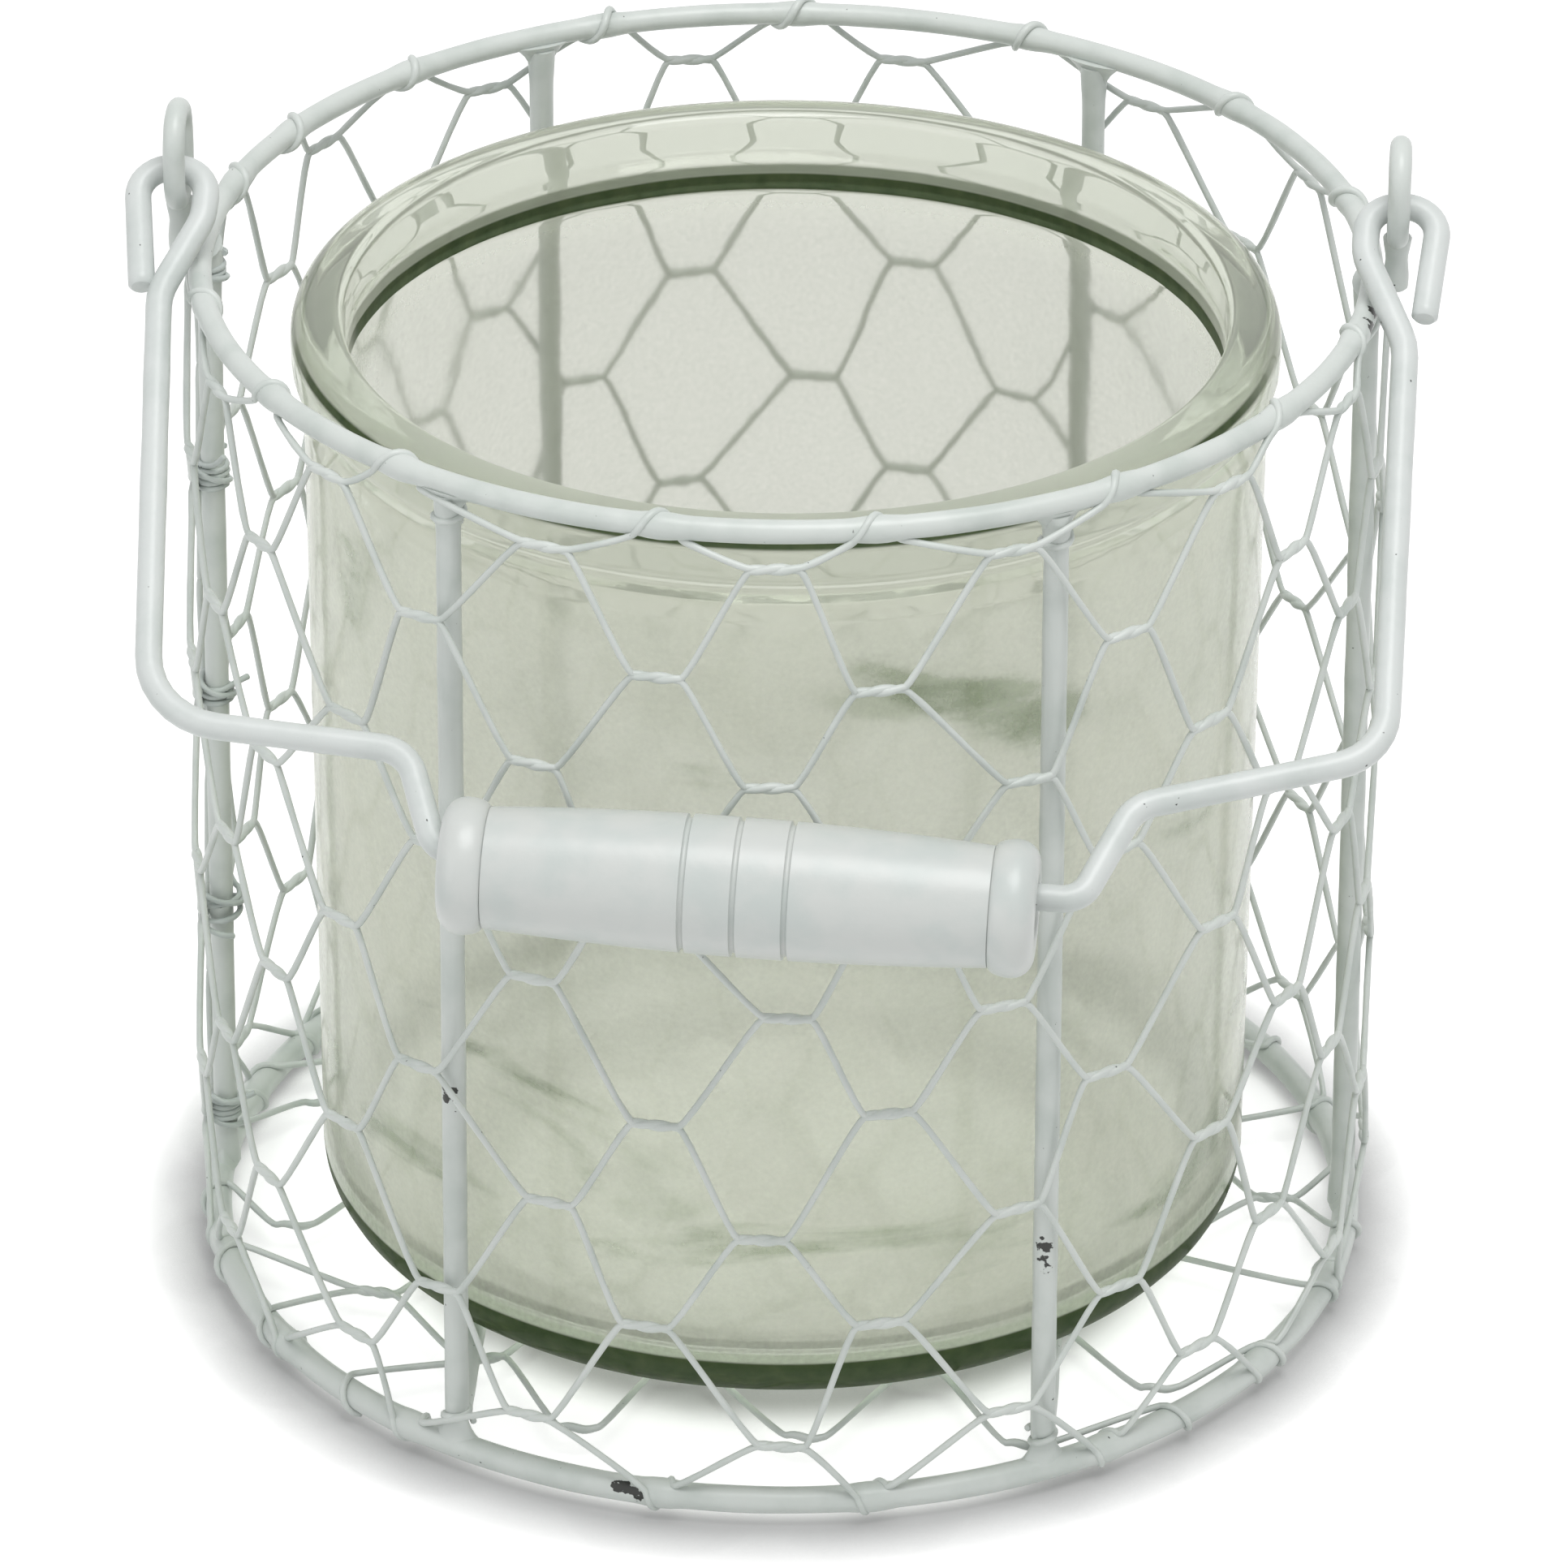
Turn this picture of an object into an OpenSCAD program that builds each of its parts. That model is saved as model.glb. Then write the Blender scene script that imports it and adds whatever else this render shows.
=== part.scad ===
// Glass jar in a white wire carrier: welded rings and uprights, hexagonal netting twisted wire by
// wire, a bail hooked into two ears and a turned grip. Millimetres, +Z up. The origin is on the
// floor under the centre of the carrier, the ears are on the X axis and the bail lies towards -Y.

/* [Carrier frame] */
// Diameter of the top ring, to the middle of its wire
top_ring_d = 170; // [168:0.5:174]
// Diameter of the base ring, to the middle of its wire
base_ring_d = 173; // [171:0.5:176]
// Height from the middle of the base ring to the middle of the top ring
carrier_h = 158.5; // [156:0.5:166]
// Wire of the top ring
top_wire_d = 3.4; // [3:0.1:3.6]
// Wire of the base ring
base_wire_d = 4; // [3.6:0.1:4.4]
// Wire of the uprights and of the rods under the jar
post_wire_d = 3.6; // [3:0.1:4]
// How far the uprights stand inside the middle of the rings
post_inset = 0.6; // [0.4:0.1:0.8]
// Bend of the rods at their feet, to the middle of the wire
rod_bend_r = 4; // [3.5:0.1:5]
// Angle of the two rods' uprights from the line through the ears
rod_angle = 60; // [56:1:62]

/* [Ears and bail] */
// Wire of the ears
ear_wire_d = 3.2; // [2.8:0.1:3.4]
// Width of the hole in an ear
ear_hole_w = 7; // [6.6:0.1:8]
// Height of the hole in an ear
ear_hole_h = 10.4; // [9.5:0.1:12]
// Height of the bottom of the ear's hole over the middle of the top ring
ear_lift = 8.5; // [8.2:0.1:10]
// Wire of the bail
bail_wire_d = 3.9; // [3.5:0.1:4.1]
// Bend of the bail's hooks
hook_r = 4.7; // [4.5:0.1:4.8]
// Reach of a hook through its ear, towards the jar
hook_inside = 4.4; // [4.2:0.1:4.6]
// Reach of a hook through its ear, away from the jar
hook_outside = 6.1; // [5.8:0.1:6.6]
// Length of a hook's free end
hook_l = 20; // [16:0.5:24]
// Play of a hook in the hole of its ear
hook_play = 0.95; // [0.8:0.05:1.1]
// Distance from the middle of the grip back to the bail's shoulders
shoulder_t = 24; // [22:0.2:26]
// Reach of the bail from its pivot to the middle of the grip
bail_reach = 115.4; // [114:0.2:118]

/* [Grip] */
// Length of the grip
grip_l = 83; // [80:0.5:84]
// Diameter of the barrel at its middle
grip_mid_d = 19.5; // [18:0.1:20]
// Diameter of the barrel beside the beads
grip_neck_d = 17; // [16:0.1:17.6]
// Diameter of the end beads
bead_d = 19.3; // [18.5:0.1:20]
// Width of an end bead
bead_w = 6.3; // [5:0.1:7.5]
// Hole for the bail
grip_bore_d = 8.8; // [8.6:0.1:9.4]
// Distance between the turned grooves
groove_pitch = 7.2; // [6:0.1:9]
// Depth of the grooves
groove_depth = 0.6; // [0.4:0.1:1]
// Width of the grooves
groove_w = 0.9; // [0.6:0.1:1.4]
// Depth under the top ring at which the grip lies against the netting
grip_depth = 47.5; // [45:0.5:50]

/* [Jar] */
// Height of the jar
jar_h = 146; // [140:0.5:151]
// Diameter of the jar's body
jar_d = 141; // [136:0.5:144]
// Diameter of the rolled rim
rim_d = 144.4; // [142:0.2:150]
// Height of the rolled rim
rim_h = 9; // [7:0.1:11]
// Diameter of the mouth
mouth_d = 129; // [126:0.5:131]
// Depth of the straight mouth
mouth_depth = 12.5; // [8:0.5:14]
// Thickness of the jar's wall
jar_wall = 3.7; // [3:0.1:4.5]
// Thickness of the jar's floor
jar_floor = 6; // [4.5:0.1:8]
// Rounding of the jar's foot
foot_r = 7; // [5:0.5:9]
// Width of the foot that the jar stands on, with its rounding
foot_w = 13; // [11:0.5:16]
// Hollow under the middle of the jar
foot_hollow = 1.6; // [0.8:0.1:2.4]

/* [Netting] */
// Wire of the netting
net_wire_d = 1.2; // [1:0.05:1.25]
// Cells of the netting round the carrier
net_cells = 16; // [14:1:18]
// Height from one row of twists to the next
row_pitch = 17.75; // [17:0.05:18]
// Depth of the first row of twists under the middle of the top ring
first_row = 4.5; // [4.3:0.1:5.5]
// Length of a twist
twist_l = 7.6; // [6:0.1:9]
// Unevenness of the rows, up or down
row_wander = 1.6; // [0:0.1:2]
// Unevenness of the cells, in degrees
cell_wander = 1.2; // [0:0.1:1.4]
// How far round the twists have slipped at the back, in degrees
back_slip = 11; // [0:0.5:11]
// How far the rows sag at the back
back_sag = 4; // [0:0.25:4]
// Distance between the wires of the netting under the jar
base_row_pitch = 17.6; // [17:0.1:18]
// Length of a cell of the netting under the jar
base_cell = 33; // [31:0.5:36]
// Length of the clasps between the wires under the jar
clasp_l = 5.6; // [4:0.1:7]

/* [Clearances] */
// Gap where welded or laced wires lie against each other
seat = 0.1; // [0.05:0.05:0.2]
// Gap between pieces that can be lifted or turned
free_gap = 0.3; // [0.2:0.05:0.4]

/* [Hidden] */

$fn = 48;
paint = "whitesmoke";
old_paint = "gainsboro";
tint = [0.78, 0.82, 0.76, 0.5];

// Sections in a turn of lacing round a ring, and how far it stands out from the ring's middle
lace_steps = 6;
function lace_reach(wire_d) = (wire_d / 2 + net_wire_d + seat) / cos(180 / lace_steps);

// Rings and uprights
top_r = top_ring_d / 2;
base_r = base_ring_d / 2;
net_r = net_wire_d / 2;
base_z = lace_reach(base_wire_d);
top_z = base_z + carrier_h;
post_top_r = top_r - post_inset;
post_foot_r = base_r - post_inset;
post_lean = atan((post_foot_r - post_top_r) / carrier_h);
weld_h = 5;
weld_flare = 0.5;
// How a straight length of bent wire meets its bends
bend_lap = 0.2;
bend_step = 0.02;
// The rods' bend rests on the base ring, and their straight bar carries the jar
bend_seat = rod_bend_r + (post_wire_d + base_wire_d) / 2 + seat;
bar_z = base_z - rod_bend_r + sqrt(pow(bend_seat, 2) - pow(rod_bend_r - post_inset, 2));
jar_z = bar_z + post_wire_d / 2 + free_gap;

// Ears and the bail's pivot
ear_x = top_r + (top_wire_d + ear_wire_d) / 2 + seat;
pivot_lift = ear_lift + bail_wire_d / 2 + hook_play;
pivot_z = top_z + pivot_lift;

// Netting: the twisted wires lie on the outside of the uprights
wire_gap = 0.04;
max_mitre = 1.6;
twist_r = net_r + wire_gap;
last_row = 8;
cell_a = 360 / net_cells;
seam_a = 180;
even_phase = 2.9;
odd_share = 0.47;
sides = 4;
// Ends of the wires at the seam: their angle from it and their distance from the row
seam_end_a = 2.3;
seam_end_lift = net_wire_d / 2 + 1;
// Lacing: its length in degrees, where it starts under the ring's outside, and the angle that it
// keeps from an upright, and from one under an ear
lace_a_len = 3.3;
lace_start = -30;
upright_keep = 5.2;
ear_keep = 13.5;

// Grip: it hangs on the bail's wire by its bore, against the netting in front
bore_play = 0.35;
grip_hang = (grip_bore_d - bail_wire_d) / 2 - bore_play;
grip_y = net_mid_r(top_z - grip_depth) + net_r + free_gap + grip_mid_d / 2;
rest_a = 90 - asin(grip_y / bail_reach);
grip_tilt = 2.74;
bead_round = 2;
bore_edge = 0.8;

function polar(r, a, z) = [r * cos(a), r * sin(a), z];
function unit(v) = v / norm(v);
function mix(a, b, t) = a + (b - a) * t;
function post_r_at(z) = mix(post_foot_r, post_top_r, (z - base_z) / carrier_h);
function net_mid_r(z) = post_r_at(z) + post_wire_d / 2 + seat + twist_r + net_r;

// ---- Wire shapes -------------------------------------------------------------------------------

// Turn from travelling along a to travelling along b, in degrees, positive to the left
function turn(a, b) = atan2(a[0] * b[1] - a[1] * b[0], a[0] * b[0] + a[1] * b[1]);

// Round wire in the XY plane through the corner points, bent to one radius at each inner corner.
// The straights are a hair thinner than the bends and run a little way into them.
module bent_wire(path, bends, d) {
    last = len(path) - 1;
    dirs = [for (i = [0:last - 1]) unit(path[i + 1] - path[i])];
    turns = [for (i = [0:last]) i == 0 || i == last ? 0 : turn(dirs[i - 1], dirs[i])];
    reach = [for (i = [0:last]) turns[i] == 0 ? 0 : bends[i - 1] * tan(abs(turns[i]) / 2)];
    for (i = [0:last - 1]) {
        from = reach[i] - (i == 0 ? 0 : bend_lap);
        to = norm(path[i + 1] - path[i]) - reach[i + 1] + (i == last - 1 ? 0 : bend_lap);
        translate(path[i] + dirs[i] * from)
            rotate([0, 90, atan2(dirs[i][1], dirs[i][0])])
                cylinder(h = to - from, d = d - bend_step);
    }
    for (i = [1:last - 1]) {
        side = sign(turns[i]);
        heading = atan2(dirs[i - 1][1], dirs[i - 1][0]);
        centre = path[i] - dirs[i - 1] * reach[i]
            + side * bends[i - 1] * [-sin(heading), cos(heading)];
        from = side > 0 ? heading - 90 : heading + 90 + turns[i];
        translate(centre)
            rotate(from)
                rotate_extrude(angle = abs(turns[i]))
                    translate([bends[i - 1], 0])
                        circle(d = d);
    }
}

module hoop(r, d, z) {
    translate([0, 0, z])
        rotate_extrude($fn = 144)
            translate([r, 0])
                circle(d = d);
}

// Rings of a netting wire: each has four corners, one pair along the given outward direction
function ring_corners(p, t_in, t_out, outward) =
    let (
        t = unit(t_in + t_out),
        bend = t_out - t_in,
        bend_dir = norm(bend) < 0.001 ? [0, 0, 0] : unit(bend),
        mitre = min(1 / (t * t_out), max_mitre) - 1,
        n = unit(outward - (outward * t) * t),
        b = cross(t, n)
    )
    [for (v = [n, b, -n, -b]) p + net_r * (v + mitre * (v * bend_dir) * bend_dir)];

// Thin wire through the points, as [place, outward direction] pairs
module thin_wire(path) {
    last = len(path) - 1;
    dirs = [for (i = [0:last - 1]) unit(path[i + 1][0] - path[i][0])];
    corners = [for (i = [0:last]) each ring_corners(
        path[i][0], dirs[max(i - 1, 0)], dirs[min(i, last - 1)], path[i][1])];
    walls = [for (i = [0:last - 1], k = [0:sides - 1])
        let (a = i * sides + k, b = i * sides + (k + 1) % sides)
        each [[a, a + sides, b], [b, a + sides, b + sides]]];
    end = last * sides;
    caps = [[0, 1, 2], [0, 2, 3], [end + 3, end + 2, end + 1], [end + 3, end + 1, end]];
    polyhedron(points = corners, faces = concat(walls, caps), convexity = 10);
}

// ---- Netting -----------------------------------------------------------------------------------

// Uneven places of the twists, repeated by the same rule round every row. At the back, where
// at_back is 1, the netting has slipped round and sags a little.
function even(row) = row % 2 == 0;
function even_a(row, col) = seam_a + even_phase + cell_a * (col + (even(row) ? 0 : odd_share));
function at_back(a) = max(0, sin(a));
function twist_a(row, col) = even_a(row, col) + back_slip * at_back(even_a(row, col))
    + cell_wander * sin(137 * col + 71 * row);
function row_z(row, col) = top_z - first_row - row_pitch * row - back_sag * at_back(even_a(row, col))
    + (row == 0 ? 0 : row_wander * sin(97 * col + 211 * row + 40));

// One wire's share of a twist: a full turn about the partner, from above (1) or from below (-1)
function twist(row, col, from) =
    let (
        z = row_z(row, col),
        a = twist_a(row, col),
        r = net_mid_r(z),
        step_a = twist_l / 4 / r * 180 / PI
    )
    [for (q = [0:4]) [
        polar(r + from * twist_r * sin(90 * q), a + (q - 2) * step_a, z + from * twist_r * cos(90 * q)),
        polar(1, a + (q - 2) * step_a, 0)
    ]];

// One turn of lacing round a ring, over it and back underneath; up is 1 on the top ring
function lace(a, ring_r, wire_d, z, up) =
    let (
        r = (wire_d / 2 + net_r + seat) / cos(180 / lace_steps)
    )
    [for (q = [0:lace_steps])
        let (
            turn_a = up * (lace_start + 360 / lace_steps * q),
            at = a + (q / lace_steps - 0.5) * lace_a_len
        )
        [
            polar(ring_r + r * cos(turn_a), at, z + r * sin(turn_a)),
            polar(cos(turn_a), at, sin(turn_a))
        ]];

// A lacing turn keeps clear of the upright nearest to it, and beside an ear of the bail's arm too
function lace_a(col) =
    let (
        a = twist_a(1, col),
        upright = round(a / 60) * 60,
        keep = upright % 180 == 0 ? ear_keep : upright_keep
    )
    upright + (a < upright ? -1 : 1) * max(abs(a - upright), keep);

// Wire between two rows of twists; row -1 is the top ring and row 9 the base ring
function wire_feature(row, col, from) =
    row < 0 ? lace(lace_a(col), top_r, top_wire_d, top_z, 1)
    : row > last_row ? lace(lace_a(col), base_r, base_wire_d, base_z, -1)
    : twist(row, col, from);

// Both ends of a wire stop at the seam, beside the left upright
function seam_end(row, from, side) =
    let (
        z = row_z(row, 0),
        a = seam_a + side * seam_end_a
    )
    [polar(net_mid_r(z), a, z + from * seam_end_lift), polar(1, a, 0)];

function net_path(i) =
    let (
        up_row = i - 1,
        even_row = even(i) ? i : up_row,
        odd_row = even(i) ? up_row : i,
        even_from = even(i) ? 1 : -1
    )
    concat(
        [seam_end(even_row, even_from, 1)],
        [for (col = [0:net_cells - 1]) each concat(
            wire_feature(odd_row, col, -even_from),
            col < net_cells - 1 ? wire_feature(even_row, col + 1, even_from) : []
        )],
        [seam_end(even_row, even_from, -1)]
    );

module net_wire(i) {
    color(paint)
        thin_wire(net_path(i));
}

// Turns of the netting's wire ends round the left upright
module seam_wraps() {
    wrap_r = post_wire_d / 2 + net_r + seat;
    color(old_paint)
        for (row = [0:2:last_row], turn_no = [-1, 1]) {
            z = row_z(row, 0) + turn_no * (net_r + wire_gap);
            translate([-post_r_at(z), 0, z])
                rotate(turn_no * 20)
                    rotate_extrude(angle = 330, $fn = 36)
                        translate([wrap_r, 0])
                            circle(r = net_r, $fn = 16);
        }
}

// Netting under the jar: wires along X, clasped to their neighbours and hooked over the base ring
base_wires = 8;
base_net_z = base_z + net_r;
// Ends of these wires: how much they rise, over what length, and how far in the next clasp may be
end_rise = 0.8;
end_run = 4;
clasp_keep = 8;
hook_in = base_r - base_wire_d / 2 - net_r - 3 * seat;
function base_y(i) = (i - (base_wires + 1) / 2) * base_row_pitch;
function base_half(i) = sqrt(pow(hook_in, 2) - pow(base_y(i), 2));
function clasp_x(n) = (n + 0.5) * base_cell / 2;
function clasp_side(i, n) = (i + n + 20) % 2 == 0 ? 1 : -1;

module base_net_wire(i) {
    y = base_y(i);
    half = base_half(i);
    clasp = base_row_pitch / 2 - net_r - wire_gap - 2 * seat;
    count = ceil(half / (base_cell / 2));
    path = concat(
        [base_end(-1, y, half, 1), base_end(-1, y, half, 0)],
        [for (n = [-count:count])
            if (abs(clasp_x(n)) < half - clasp_keep)
                each [for (e = [-1, 1])
                    [[clasp_x(n) + e * clasp_l / 2, y + clasp_side(i, n) * clasp, base_net_z],
                        [0, 0, 1]]]],
        [base_end(1, y, half, 0), base_end(1, y, half, 1)]
    );
    color(paint)
        thin_wire(path);
}

function base_end(end, y, half, out) =
    [[end * (half - (1 - out) * end_run), y, base_net_z + out * end_rise], [0, 0, 1]];

// ---- Frame -------------------------------------------------------------------------------------

module top_ring() {
    color(paint)
        hoop(top_r, top_wire_d, top_z);
}

module base_ring() {
    color(paint)
        hoop(base_r, base_wire_d, base_z);
}

// Flare of the weld at the top of an upright
module weld(top, flare) {
    translate([0, 0, top - weld_h])
        cylinder(h = weld_h, d1 = post_wire_d - flare / 2, d2 = post_wire_d + 2 * flare);
}

// Rod bent into a U: two uprights and the bar that carries the jar
module rod(side) {
    foot_x = post_foot_r * cos(rod_angle);
    foot_y = post_foot_r * sin(rod_angle);
    top_y = post_top_r * sin(rod_angle);
    rise = top_z - bar_z;
    lean_x = atan((foot_x - post_top_r * cos(rod_angle)) / rise);
    lean_y = atan((foot_y - top_y) / rise);
    color(paint)
        difference() {
            translate([side * foot_x, 0, bar_z])
                rotate([0, -side * lean_x, 0]) {
                    rotate([90, 0, 90])
                        bent_wire(
                            [[-top_y, rise], [-foot_y, 0], [foot_y, 0], [top_y, rise]],
                            [rod_bend_r, rod_bend_r], post_wire_d);
                    for (end = [-1, 1])
                        translate([0, end * top_y, rise])
                            rotate([end * lean_y, 0, 0])
                                weld(0, weld_flare);
                }
            hoop(top_r, top_wire_d + 2 * seat, top_z);
            translate([0, 0, top_z])
                cylinder(h = 10, r = top_r + 10);
        }
}

module rod_left() { rod(-1); }
module rod_right() { rod(1); }

// Straight upright under an ear
module post(side) {
    color(paint)
        difference() {
            translate([side * post_foot_r, 0, base_z])
                rotate([0, -side * post_lean, 0]) {
                    cylinder(h = carrier_h, d = post_wire_d);
                    weld(carrier_h, weld_flare);
                }
            hoop(top_r, top_wire_d + 2 * seat, top_z);
            hoop(base_r, base_wire_d + 2 * seat, base_z);
            translate([0, 0, top_z])
                cylinder(h = 10, r = top_r + 10);
            cylinder(h = base_z, r = base_r + 10);
        }
}

module post_left() { post(-1); }
module post_right() { post(1); }

// Wire eye on the outside of the top ring
module ear(side) {
    loop_r = (ear_hole_w + ear_wire_d) / 2;
    low = ear_lift + ear_hole_w / 2;
    high = ear_lift + ear_hole_h - ear_hole_w / 2;
    color(paint)
        translate([side * ear_x, 0, top_z]) {
            rotate([90, 0, 90])
                for (arch = [[0, high], [180, low]])
                    translate([0, arch[1]])
                        rotate(arch[0])
                            rotate_extrude(angle = 180)
                                translate([loop_r, 0])
                                    circle(d = ear_wire_d);
            for (y = [-loop_r, loop_r])
                translate([0, y, low])
                    cylinder(h = high - low, d = ear_wire_d);
            translate([0, 0, -top_wire_d / 2])
                cylinder(h = top_wire_d / 2 + ear_lift - ear_wire_d / 2, d = ear_wire_d);
        }
}

module ear_left() { ear(-1); }
module ear_right() { ear(1); }

// ---- Bail and grip -----------------------------------------------------------------------------

// Puts a flat shape into the bail's plane: X stays and Y runs from the pivot to the grip
module in_bail_plane() {
    translate([0, 0, pivot_z])
        rotate([180 + rest_a, 0, 0])
            children();
}

// Bent by hand over the bending pegs, so its left and right sides differ a little
module bail() {
    wire_t = bail_reach - grip_hang;
    slope = tan(grip_tilt);
    ear_in = ear_x - hook_inside;
    ear_out = ear_x + hook_outside;
    neck_t = 1.8 * hook_r;
    arm_t = 4.6 * hook_r;
    shoulder = bail_reach - shoulder_t;
    left = -grip_l / 2 - 1.1;
    right = grip_l / 2 + 5.8;
    path = [
        [-ear_out + 2.6, hook_l + 0.6], [-ear_out, 0], [-ear_in + 0.1, 0], [-ear_in - 0.1, neck_t],
        [-ear_x - 0.9, arm_t], [-ear_x + 3.8, shoulder + 0.4], [left - 5, shoulder + 4.2],
        [left, wire_t + left * slope], [right, wire_t + right * slope], [right + 6.9, shoulder + 9.1],
        [ear_x + 0.3, shoulder - 0.4], [ear_x + 1.5, arm_t + 1.9], [ear_in - 0.3, neck_t],
        [ear_in, 0], [ear_out, 0], [ear_out - 2, hook_l - 1]
    ];
    bends = [hook_r, hook_r, 8, 10, 12, 6, 4, 4, 6, 9, 10, 8, hook_r, hook_r];
    color(paint)
        in_bail_plane()
            bent_wire(path, bends, bail_wire_d);
}

// Half of the grip's outline, from its middle to one end, as [distance, radius]
function grip_outline() =
    let (
        half = grip_l / 2,
        barrel = half - bead_w,
        bead_mid = half - bead_w / 2
    )
    concat(
        [for (q = [0:8]) let (x = barrel * q / 8)
            [x, mix(grip_mid_d, grip_neck_d, pow(x / barrel, 2)) / 2]],
        [for (q = [1:7]) let (a = 180 - 180 * q / 8)
            [bead_mid + bead_w / 2 * cos(a), bead_d / 2 - bead_round * (1 - sin(a))]],
        [[half, bead_d / 2 - 1.2 * bead_round], [half, grip_bore_d / 2 + bore_edge],
            [half - bore_edge, grip_bore_d / 2]]
    );

module grip() {
    half_line = grip_outline();
    last = len(half_line) - 1;
    groove_r = grip_mid_d / 2 - groove_depth;
    color(paint)
        in_bail_plane()
            translate([0, bail_reach, 0])
                rotate([0, 90, grip_tilt])
                    difference() {
                        rotate_extrude($fn = 64)
                            polygon(concat(
                                [for (p = half_line) [p[1], p[0]]],
                                [for (i = [last:-1:1]) [half_line[i][1], -half_line[i][0]]]
                            ));
                        for (n = [-1, 0, 1])
                            translate([0, 0, n * groove_pitch - groove_w / 2])
                                difference() {
                                    cylinder(h = groove_w, d = grip_mid_d + 4);
                                    cylinder(h = groove_w, r = groove_r);
                                }
                    }
}

// ---- Jar ---------------------------------------------------------------------------------------

// Points of a corner rounded to a radius, between two straight lines
function rounded(before, corner, after, r, steps) =
    let (
        a = unit(before - corner),
        b = unit(after - corner),
        half = acos(a * b) / 2,
        centre = corner + unit(a + b) * r / sin(half),
        p = corner + a * r / tan(half),
        start = atan2(p[1] - centre[1], p[0] - centre[0]),
        sweep = -turn(a, b) / abs(turn(a, b)) * (180 - 2 * half)
    )
    r == 0 ? [corner]
    : [for (q = [0:steps]) centre + r * [cos(start + sweep * q / steps), sin(start + sweep * q / steps)]];

module jar() {
    body = jar_d / 2;
    inside = body - jar_wall;
    mouth = mouth_d / 2;
    rim = rim_d / 2;
    // Corner points as [radius, height, rounding]
    line = [
        [0, foot_hollow, 0], [body - foot_w - 3, foot_hollow, 3], [body - foot_w, 0, 2],
        [body - 0.3, 0, foot_r],
        [body, jar_h - rim_h - 6, 4], [body - 1, jar_h - rim_h - 1, 1.5],
        [rim, jar_h - rim_h + 1, 2.4], [rim, jar_h, 3.6], [mouth, jar_h, 1.6],
        [mouth, jar_h - mouth_depth, 0.6], [inside, jar_h - mouth_depth - 1.5, 1.5],
        [inside, jar_floor, foot_r - 1], [0, jar_floor, 0]
    ];
    last = len(line) - 1;
    pts = [for (i = [0:last]) [line[i][0], line[i][1]]];
    color(tint)
        translate([0, 0, jar_z])
            rotate_extrude($fn = 128)
                polygon([for (i = [0:last]) each
                    i == 0 || i == last ? [pts[i]]
                    : rounded(pts[i - 1], pts[i], pts[i + 1], line[i][2], 5)]);
}

top_ring();
base_ring();
rod_left();
rod_right();
post_left();
post_right();
ear_left();
ear_right();
net_wire(0);  // net_top_wire
net_wire(1);  // net_wire_1
net_wire(2);  // net_wire_2
net_wire(3);  // net_wire_3
net_wire(4);  // net_wire_4
net_wire(5);  // net_wire_5
net_wire(6);  // net_wire_6
net_wire(7);  // net_wire_7
net_wire(8);  // net_wire_8
net_wire(9);  // net_bottom_wire
seam_wraps();
base_net_wire(1);  // base_net_1
base_net_wire(2);  // base_net_2
base_net_wire(3);  // base_net_3
base_net_wire(4);  // base_net_4
base_net_wire(5);  // base_net_5
base_net_wire(6);  // base_net_6
base_net_wire(7);  // base_net_7
base_net_wire(8);  // base_net_8
bail();
grip();
jar();
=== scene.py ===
"""Pale green glass jar in a white painted wire carrier, dressed on its CAD frame.

The carrier is a pair of wire hoops on six uprights, closed with hexagonal netting. A bent wire
bail hooks into two ears and carries a turned wooden grip. Lengths are millimetres until a mesh is
made, and heights are over the surface that the carrier stands on.
"""

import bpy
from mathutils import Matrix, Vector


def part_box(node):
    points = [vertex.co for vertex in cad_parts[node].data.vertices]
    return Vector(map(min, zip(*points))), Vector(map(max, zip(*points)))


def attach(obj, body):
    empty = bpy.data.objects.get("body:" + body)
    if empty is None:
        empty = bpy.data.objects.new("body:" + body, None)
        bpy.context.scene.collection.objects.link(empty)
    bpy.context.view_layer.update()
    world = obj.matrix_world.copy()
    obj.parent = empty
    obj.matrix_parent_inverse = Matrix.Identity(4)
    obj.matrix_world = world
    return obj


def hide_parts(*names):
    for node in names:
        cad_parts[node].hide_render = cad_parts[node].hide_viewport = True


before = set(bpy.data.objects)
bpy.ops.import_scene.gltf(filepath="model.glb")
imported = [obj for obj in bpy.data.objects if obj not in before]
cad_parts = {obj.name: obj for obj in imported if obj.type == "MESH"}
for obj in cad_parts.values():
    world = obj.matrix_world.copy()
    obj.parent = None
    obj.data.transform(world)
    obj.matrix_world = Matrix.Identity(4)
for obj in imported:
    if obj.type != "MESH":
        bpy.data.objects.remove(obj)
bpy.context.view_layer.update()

import logging
import math
from dataclasses import dataclass, field
from enum import Enum
from typing import Iterable, Sequence

import bmesh
import bpy
from bmesh.types import BMesh
from bpy.types import ID, Material, Mesh, Node, NodeSocket, NodeTree, Object
from mathutils import Matrix, Quaternion, Vector, noise

log = logging.getLogger("jar_lantern")

MM = 0.001
NET_SIDES = 8  # faces round a wire of the netting
END_ROUND = 0.22  # rounding of a cut wire's end, as a share of its radius
UP = Vector((0, 0, 1))
SKIN_IOR = 1.5  # dried oil paint and varnish
Source = Node | NodeSocket


class Body(Enum):
    """CAD bodies that pieces ride on."""

    CARRIER = "carrier"
    BAIL = "bail"
    GRIP = "grip"
    JAR = "jar"


class Slot(Enum):
    """Material slots of the record."""

    FRAME = "painted_frame_wire"
    NET = "painted_net_wire"
    WORN = "worn_net_wire"
    BAIL = "painted_bail_wire"
    WOOD = "painted_wood"
    GLASS = "green_glass"


class Side(Enum):
    """Left and right, as the sign of X."""

    LEFT = -1
    RIGHT = 1


# ---- Shapes


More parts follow.
